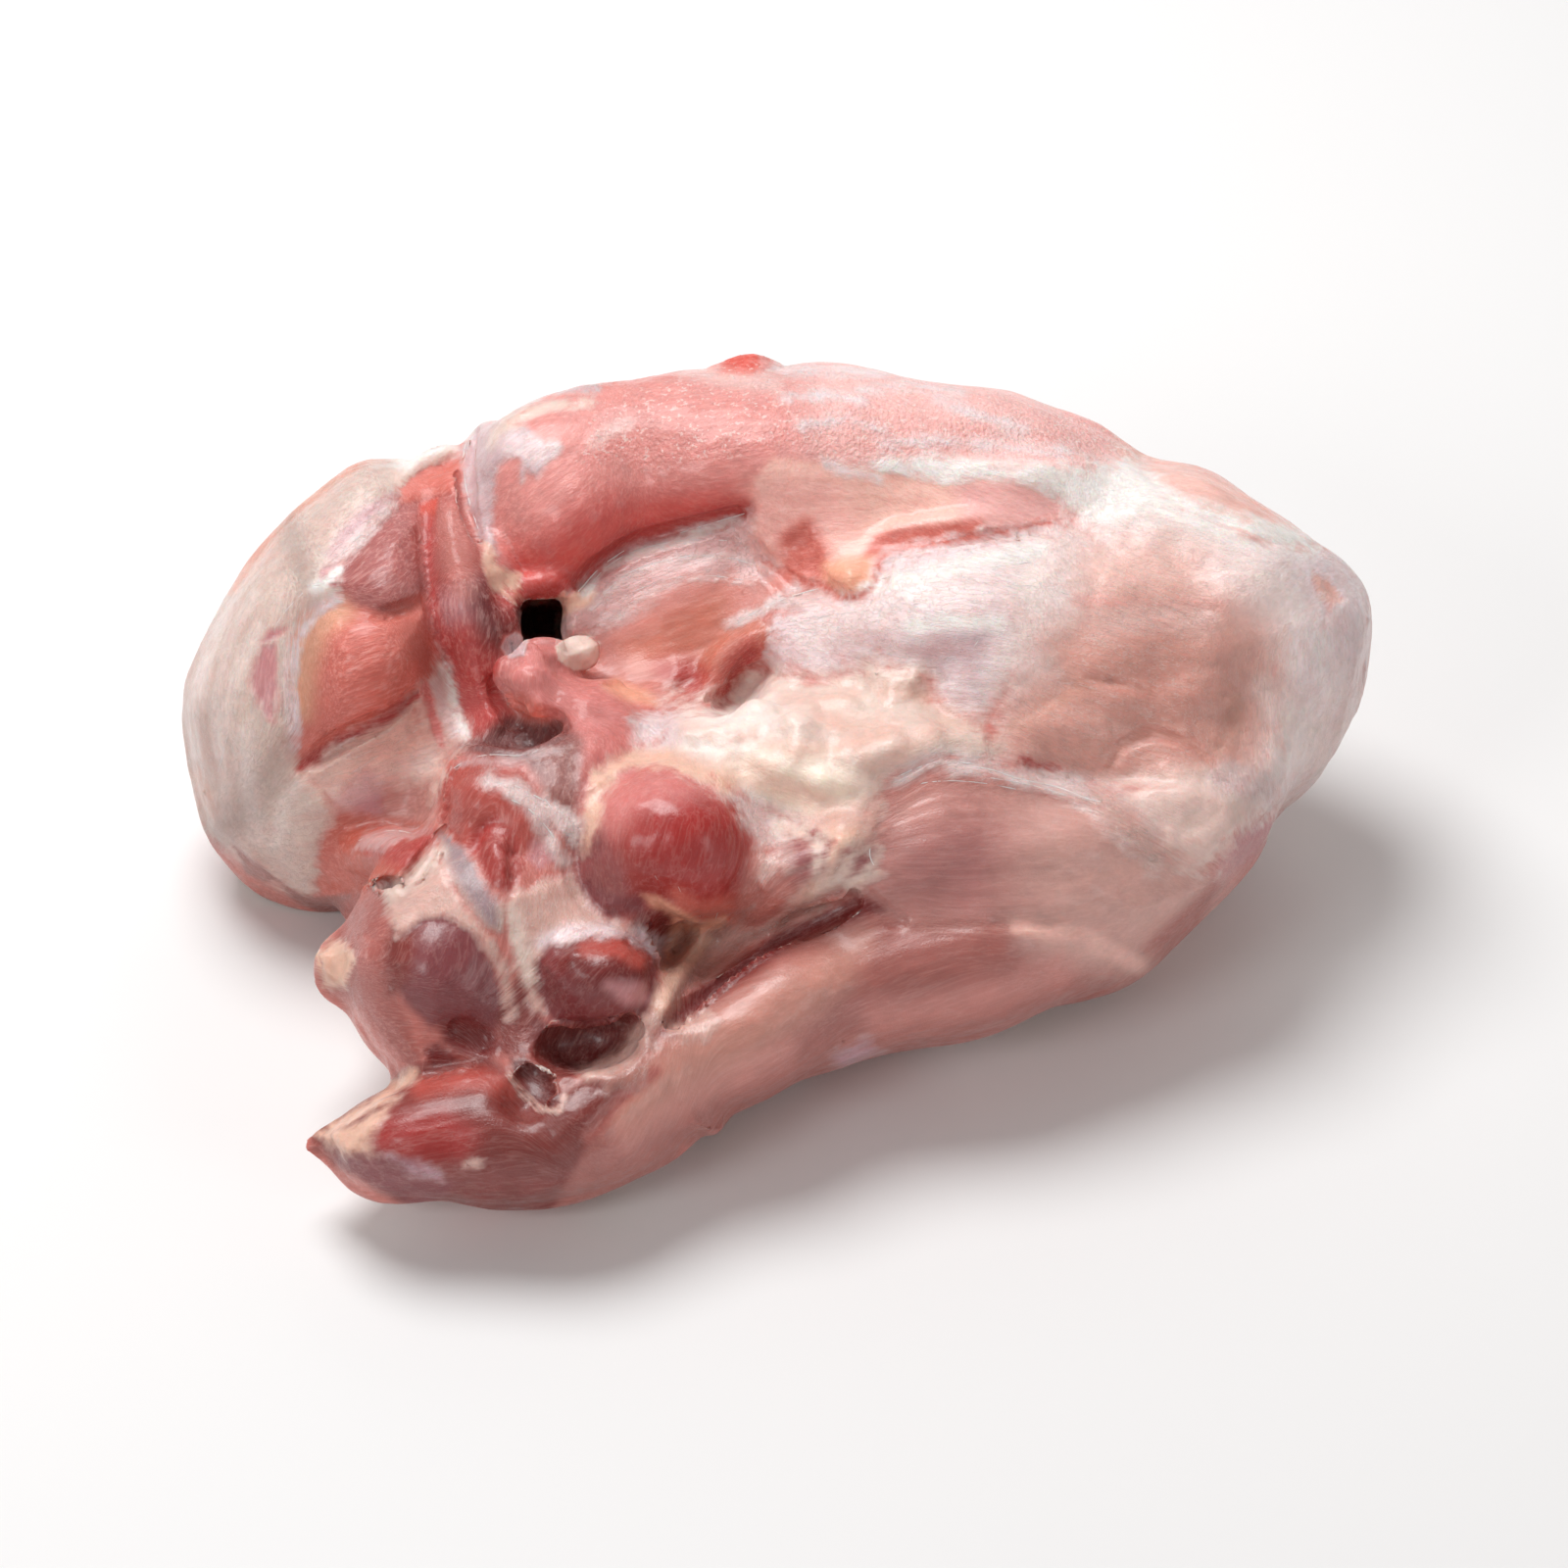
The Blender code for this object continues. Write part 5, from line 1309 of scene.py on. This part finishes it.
def finePath(flat):
    # rounds a line of pixels and lays its points close together
    points = pairs(flat)
    for turn in range(strandShape["roundings"]):
        corners = np.tile([[0.25], [0.75]], (len(points) - 1, 1))
        inner = np.repeat(points[:-1], 2, axis=0) + corners * np.repeat(np.diff(points, axis=0), 2, axis=0)
        points = np.vstack((points[:1], inner, points[-1:]))
    steps = np.linalg.norm(np.diff(points, axis=0), axis=1)
    lengths = np.concatenate(([0.0], np.cumsum(steps)))
    marks = np.linspace(0.0, lengths[-1], max(3, int(lengths[-1] / strandShape["step"])))
    return [(np.interp(m, lengths, points[:, 0]), np.interp(m, lengths, points[:, 1])) for m in marks]


def layStrands(skin):
    tree = treeOf(skin)
    rods = [
        tubeOnSkin(name, tree, finePath(pixels), half * strandShape["width"], half * strandShape["sunk"])
        for name, (pixels, half) in strands.items()
    ]
    joinTo(rods[0], rods)
    web = bpy.context.object
    web.name = "whiteStrands"
    return web


def addNode(tree, kind, inputs=None, **settings):
    made = tree.nodes.new(kind)
    for key, value in settings.items():
        setattr(made, key, value)
    for key, value in (inputs or {}).items():
        if isinstance(value, bpy.types.NodeSocket):
            tree.links.new(value, made.inputs[key])
        else:
            made.inputs[key].default_value = value
    return made


def calc(tree, what, first, second=0.0, third=0.0):
    return addNode(tree, "ShaderNodeMath", {0: first, 1: second, 2: third}, operation=what).outputs[0]


def product(tree, first, *others):
    for other in others:
        first = calc(tree, "MULTIPLY", first, other)
    return first


def summed(tree, first, *others):
    for other in others:
        first = calc(tree, "ADD", first, other)
    return first


def scaled(tree, vector, factor):
    return addNode(tree, "ShaderNodeVectorMath", {0: vector, "Scale": factor}, operation="SCALE").outputs[0]


def ramp(tree, value, low, high, toLow=0.0, toHigh=1.0):
    inputs = {"Value": value, "From Min": low, "From Max": high, "To Min": toLow, "To Max": toHigh}
    return addNode(tree, "ShaderNodeMapRange", inputs, interpolation_type="SMOOTHSTEP").outputs["Result"]


def noiseOf(tree, place, scale, detail, rough, seed):
    moved = addNode(tree, "ShaderNodeVectorMath", {0: place, 1: (seed, seed * 0.7, seed * 1.3)})
    inputs = {"Vector": moved.outputs[0], "Scale": scale, "Detail": detail, "Roughness": rough}
    return addNode(tree, "ShaderNodeTexNoise", inputs).outputs["Fac"]


def ridges(tree, value, sharp):
    # thin lines where a noise crosses its middle
    return ramp(tree, calc(tree, "ABSOLUTE", calc(tree, "SUBTRACT", value, 0.5)), sharp, 0.0)


def mixColour(tree, share, first, second):
    inputs = {0: share, 6: first, 7: second}     # 6 and 7 are its two colours
    return addNode(tree, "ShaderNodeMix", inputs, data_type="RGBA").outputs[2]


def opaque(colour):
    return (*linearColour(colour), 1.0)


def attribute(tree, name, output="Vector"):
    return addNode(tree, "ShaderNodeAttribute", attribute_name=name).outputs[output]


def partsOf(tree, vector):
    return addNode(tree, "ShaderNodeSeparateXYZ", {0: vector}).outputs


def softMaterial(name, subsurface):
    # a material that lets some light in, with its tree, its shader and places in mm
    material = bpy.data.materials.new(name)
    material.use_nodes = True
    tree = material.node_tree
    surface = tree.nodes["Principled BSDF"]
    surface.inputs["Subsurface Weight"].default_value = subsurface
    surface.inputs["Subsurface Radius"].default_value = rawPork["radius"]
    surface.inputs["Subsurface Scale"].default_value = rawPork["scatter"]
    place = addNode(tree, "ShaderNodeTexCoord").outputs["Object"]
    return material, tree, surface, scaled(tree, place, 1000.0)


rawPork = {
    "edgeRag": 1.2,          # how far the noise moves the edge of the membrane and the fat
    "edgeSoft": 0.5,
    "thin": (0.32, 0.62, 0.84, 1.03),        # ramps: from, to, least and most
    "streak": (0.35, 0.65, 0.90, 1.08),
    "blotch": (0.3, 0.7, 0.93, 1.06),
    "lumpTone": (0.3, 0.7, 0.93, 1.04),
    "fleck": (0.57, 0.66),
    "solidFat": 0.45,        # added to the cover where it isn't silky
    "fibreTone": 0.16,
    "fibreRamp": (0.3, 0.7),
    # painted sheen: the raised fibres are mixed towards a pale pink
    "fibrePale": 0.36,
    "paleRamp": (0.48, 0.72),
    "paleMix": 0.55,
    "paleFibre": (250, 214, 206),
    "bundleShare": 0.08,
    "bundleLine": 0.05,
    "paleBundle": (240, 196, 186),
    # painted glints: white flecks on the pebbled top muscle
    "fleckShare": 0.6,
    "paleFleck": (246, 222, 216),
    "strandLine": 0.03,
    "strandShare": 0.4,
    "paleStrand": (250, 238, 234),
    "fibreBump": 0.28,       # reliefs in mm
    "coverBump": 0.16,
    "lumpBump": 0.3,
    "fineBump": 0.12,
    "pebbleBump": 0.75,
    "strandBump": 0.25,
    "roughness": (0.35, 0.65, 0.30, 0.46),
    "wetter": 0.15,
    "subsurface": 0.42,
    "radius": (1.0, 0.32, 0.22),
    "scatter": 0.0035,
    "coat": 0.34,
    "coatRoughness": 0.20,
}
porkNoises = {               # along the fibres or not, scale for each mm, detail, roughness and seed
    "torn": (False, 0.22, 3.0, 0.55, 0.0),
    "tornFibre": (True, 0.3, 3.0, 0.55, 5.0),
    "thin": (False, 0.12, 3.0, 0.55, 7.0),
    "silk": (True, 0.45, 4.0, 0.55, 3.0),
    "fibre": (True, 1.1, 5.0, 0.66, 0.0),
    "blotch": (False, 0.14, 3.0, 0.6, 11.0),
    "bundle": (True, 0.4, 3.0, 0.55, 17.0),
    "fleck": (False, 0.8, 3.0, 0.6, 23.0),
    "strand": (True, 0.7, 4.0, 0.6, 31.0),
    "lump": (False, 0.42, 4.0, 0.55, 41.0),
    "pebble": (False, 1.0, 3.0, 0.5, 53.0),
    "rough": (False, 0.3, 3.0, 0.6, 61.0),
    "fine": (False, 1.7, 3.0, 0.6, 71.0),
}


def rawPorkMaterial():
    material, tree, surface, mm = softMaterial("rawPork", rawPork["subsurface"])
    grain = attribute(tree, "grain")
    fleshColour = attribute(tree, "fleshColour", "Color")
    coverColour = attribute(tree, "coverColour", "Color")
    field, hides, silk = partsOf(tree, attribute(tree, "tissue"))
    fibres, pebbled, wet = partsOf(tree, attribute(tree, "surface"))

    def grown(name):
        along, *shape = porkNoises[name]
        return noiseOf(tree, grain if along else mm, *shape)

    # membrane and fat end in a ragged edge, and thin out in places
    rag = calc(tree, "SUBTRACT", summed(tree, grown("torn"), grown("tornFibre")), 1.0)
    edge = calc(tree, "MULTIPLY_ADD", rag, rawPork["edgeRag"], field)
    mask = ramp(tree, edge, -rawPork["edgeSoft"], rawPork["edgeSoft"])
    thin = ramp(tree, grown("thin"), *rawPork["thin"])
    streak = ramp(tree, grown("silk"), *rawPork["streak"])
    solid = product(tree, calc(tree, "SUBTRACT", 1.0, silk), rawPork["solidFat"])
    opacity = summed(tree, product(tree, thin, streak, hides), solid)
    opacity.node.use_clamp = True
    covered = product(tree, mask, opacity)

    # flesh: fibres with a painted sheen, paler lines between the bundles, blotches, and pale flecks that are
    # painted glints
    drawn = calc(tree, "SUBTRACT", grown("fibre"), 0.5)
    fibre = calc(tree, "MULTIPLY_ADD", drawn, fibres, 0.5)
    halfTone = rawPork["fibreTone"] * 0.5
    tone = ramp(tree, fibre, *rawPork["fibreRamp"], 1.0 - halfTone, 1.0 + halfTone)
    blotch = ramp(tree, grown("blotch"), *rawPork["blotch"])
    toned = scaled(tree, fleshColour, product(tree, tone, blotch))
    # painted sheen on the fibres
    sheen = product(tree, ramp(tree, fibre, *rawPork["paleRamp"]), rawPork["fibrePale"])
    sheenColour = mixColour(tree, rawPork["paleMix"], fleshColour, opaque(rawPork["paleFibre"]))
    flesh = mixColour(tree, sheen, toned, sheenColour)
    bundle = product(tree, ridges(tree, grown("bundle"), rawPork["bundleLine"]), rawPork["bundleShare"])
    flesh = mixColour(tree, bundle, flesh, opaque(rawPork["paleBundle"]))
    # painted glints: white flecks where the skin is pebbled
    fleck = ramp(tree, grown("fleck"), *rawPork["fleck"])
    paintedGlints = product(tree, fleck, pebbled, rawPork["fleckShare"])
    flesh = mixColour(tree, paintedGlints, flesh, opaque(rawPork["paleFleck"]))

    # cover: pearly strands in the membrane, soft lumps in the fat
    strand = ridges(tree, grown("strand"), rawPork["strandLine"])
    pearl = product(tree, strand, silk, rawPork["strandShare"])
    lump = grown("lump")
    cover = scaled(tree, coverColour, ramp(tree, lump, *rawPork["lumpTone"]))
    cover = mixColour(tree, pearl, cover, opaque(rawPork["paleStrand"]))
    tree.links.new(mixColour(tree, covered, flesh, cover), surface.inputs["Base Color"])

    # relief in mm
    height = summed(
        tree,
        product(tree, fibre, rawPork["fibreBump"]),
        product(tree, mask, rawPork["coverBump"]),
        product(tree, lump, mask, rawPork["lumpBump"]),
        product(tree, grown("fine"), rawPork["fineBump"]),
        product(tree, grown("pebble"), pebbled, rawPork["pebbleBump"]),
        product(tree, pearl, mask, rawPork["strandBump"]),
    )
    bump = addNode(tree, "ShaderNodeBump", {"Height": height, "Strength": 1.0, "Distance": 0.001})
    tree.links.new(bump.outputs["Normal"], surface.inputs["Normal"])

    rough = ramp(tree, grown("rough"), *rawPork["roughness"])
    rough = calc(tree, "SUBTRACT", rough, product(tree, wet, rawPork["wetter"]))
    tree.links.new(rough, surface.inputs["Roughness"])
    surface.inputs["Coat Weight"].default_value = rawPork["coat"]
    surface.inputs["Coat Roughness"].default_value = rawPork["coatRoughness"]
    return material


whiteStrand = {
    "colour": (246, 228, 222),
    "noise": (0.6, 3.0, 0.6, 0.0),
    "tone": (0.3, 0.7, 0.9, 1.0),
    "roughness": 0.45,
    "subsurface": 0.3,
}


def whiteStrandMaterial():
    material, tree, surface, mm = softMaterial("whiteStrand", whiteStrand["subsurface"])
    tone = ramp(tree, noiseOf(tree, mm, *whiteStrand["noise"]), *whiteStrand["tone"])
    white = scaled(tree, opaque(whiteStrand["colour"])[:3], tone)
    tree.links.new(white, surface.inputs["Base Color"])
    surface.inputs["Roughness"].default_value = whiteStrand["roughness"]
    return material


stage = {
    "sensor": 36.0,
    "clip": 0.01,
    "floorSize": 6.0,
    "floorHeight": -0.0004,
    "floorTone": 0.86,
    "floorRoughness": 0.7,
    "aim": Vector((0, 0, 0.04)),
    "air": (1.0, 0.95, 0.93, 1),
    "airStrength": 0.30,
}
lamps = {                    # place, width and power
    "overhead": ((-0.30, 0.35, 1.1), 0.7, 11.5),
    "frontLeft": ((-0.9, -1.0, 0.9), 0.5, 4.5),
    "frontRight": ((1.1, -0.9, 0.5), 0.6, 2.0),
    "behind": ((0.2, 1.1, 0.6), 0.9, 2.0),
}


def studio():
    scene = bpy.context.scene
    camera = bpy.data.cameras.new("camera")
    camera.sensor_width = stage["sensor"]
    camera.lens = stage["sensor"] * easel["distance"] / (easel["pixels"] * easel["mmPerPixel"])
    camera.clip_start = stage["clip"]
    eye = bpy.data.objects.new("camera", camera)
    scene.collection.objects.link(eye)
    eye.matrix_world = Matrix.Translation(eyePlace) @ easelTurn.to_4x4()
    scene.camera = eye
    deselectAll()
    bpy.ops.mesh.primitive_plane_add(size=stage["floorSize"], location=(0, 0, stage["floorHeight"]))
    floor = bpy.context.object
    floor.name = "floor"
    pale = bpy.data.materials.new("paleFloor")
    pale.use_nodes = True
    surface = pale.node_tree.nodes["Principled BSDF"]
    surface.inputs["Base Color"].default_value = (*[stage["floorTone"]] * 3, 1)
    surface.inputs["Roughness"].default_value = stage["floorRoughness"]
    floor.data.materials.append(pale)
    for name, (place, size, power) in lamps.items():
        lamp = bpy.data.lights.new(name, "AREA")
        lamp.shape = "DISK"
        lamp.size = size
        lamp.energy = power
        holder = bpy.data.objects.new(name, lamp)
        scene.collection.objects.link(holder)
        aim = (stage["aim"] - Vector(place)).to_track_quat("-Z", "Y")
        holder.matrix_world = Matrix.Translation(place) @ aim.to_matrix().to_4x4()
    world = bpy.data.worlds.new("softWhite")
    world.use_nodes = True
    air = world.node_tree.nodes["Background"].inputs
    air["Color"].default_value = stage["air"]
    air["Strength"].default_value = stage["airStrength"]
    scene.world = world
    scene.view_settings.view_transform = "Standard"


def dressed(piece, material):
    piece.data.materials.clear()
    piece.data.materials.append(material)
    makeActive(piece)
    bpy.ops.object.shade_smooth()


print("camera and stage")
studio()

print("skin of the joint")
skin = skinFromFrame()
layRolls(skin)
print("clefts")
cutClefts(skin)
nudgeOutline(skin)
print("relief")
reliefOf(skin)
spareBack(skin)
print("painting", len(skin.data.vertices), "places,", len(skin.data.polygons), "faces")
paintSkin(skin)
dressed(skin, rawPorkMaterial())

print("strands")
web = layStrands(skin)
dressed(web, whiteStrandMaterial())

for piece in (skin, web):
    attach(piece, "root")
    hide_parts("pork_joint")
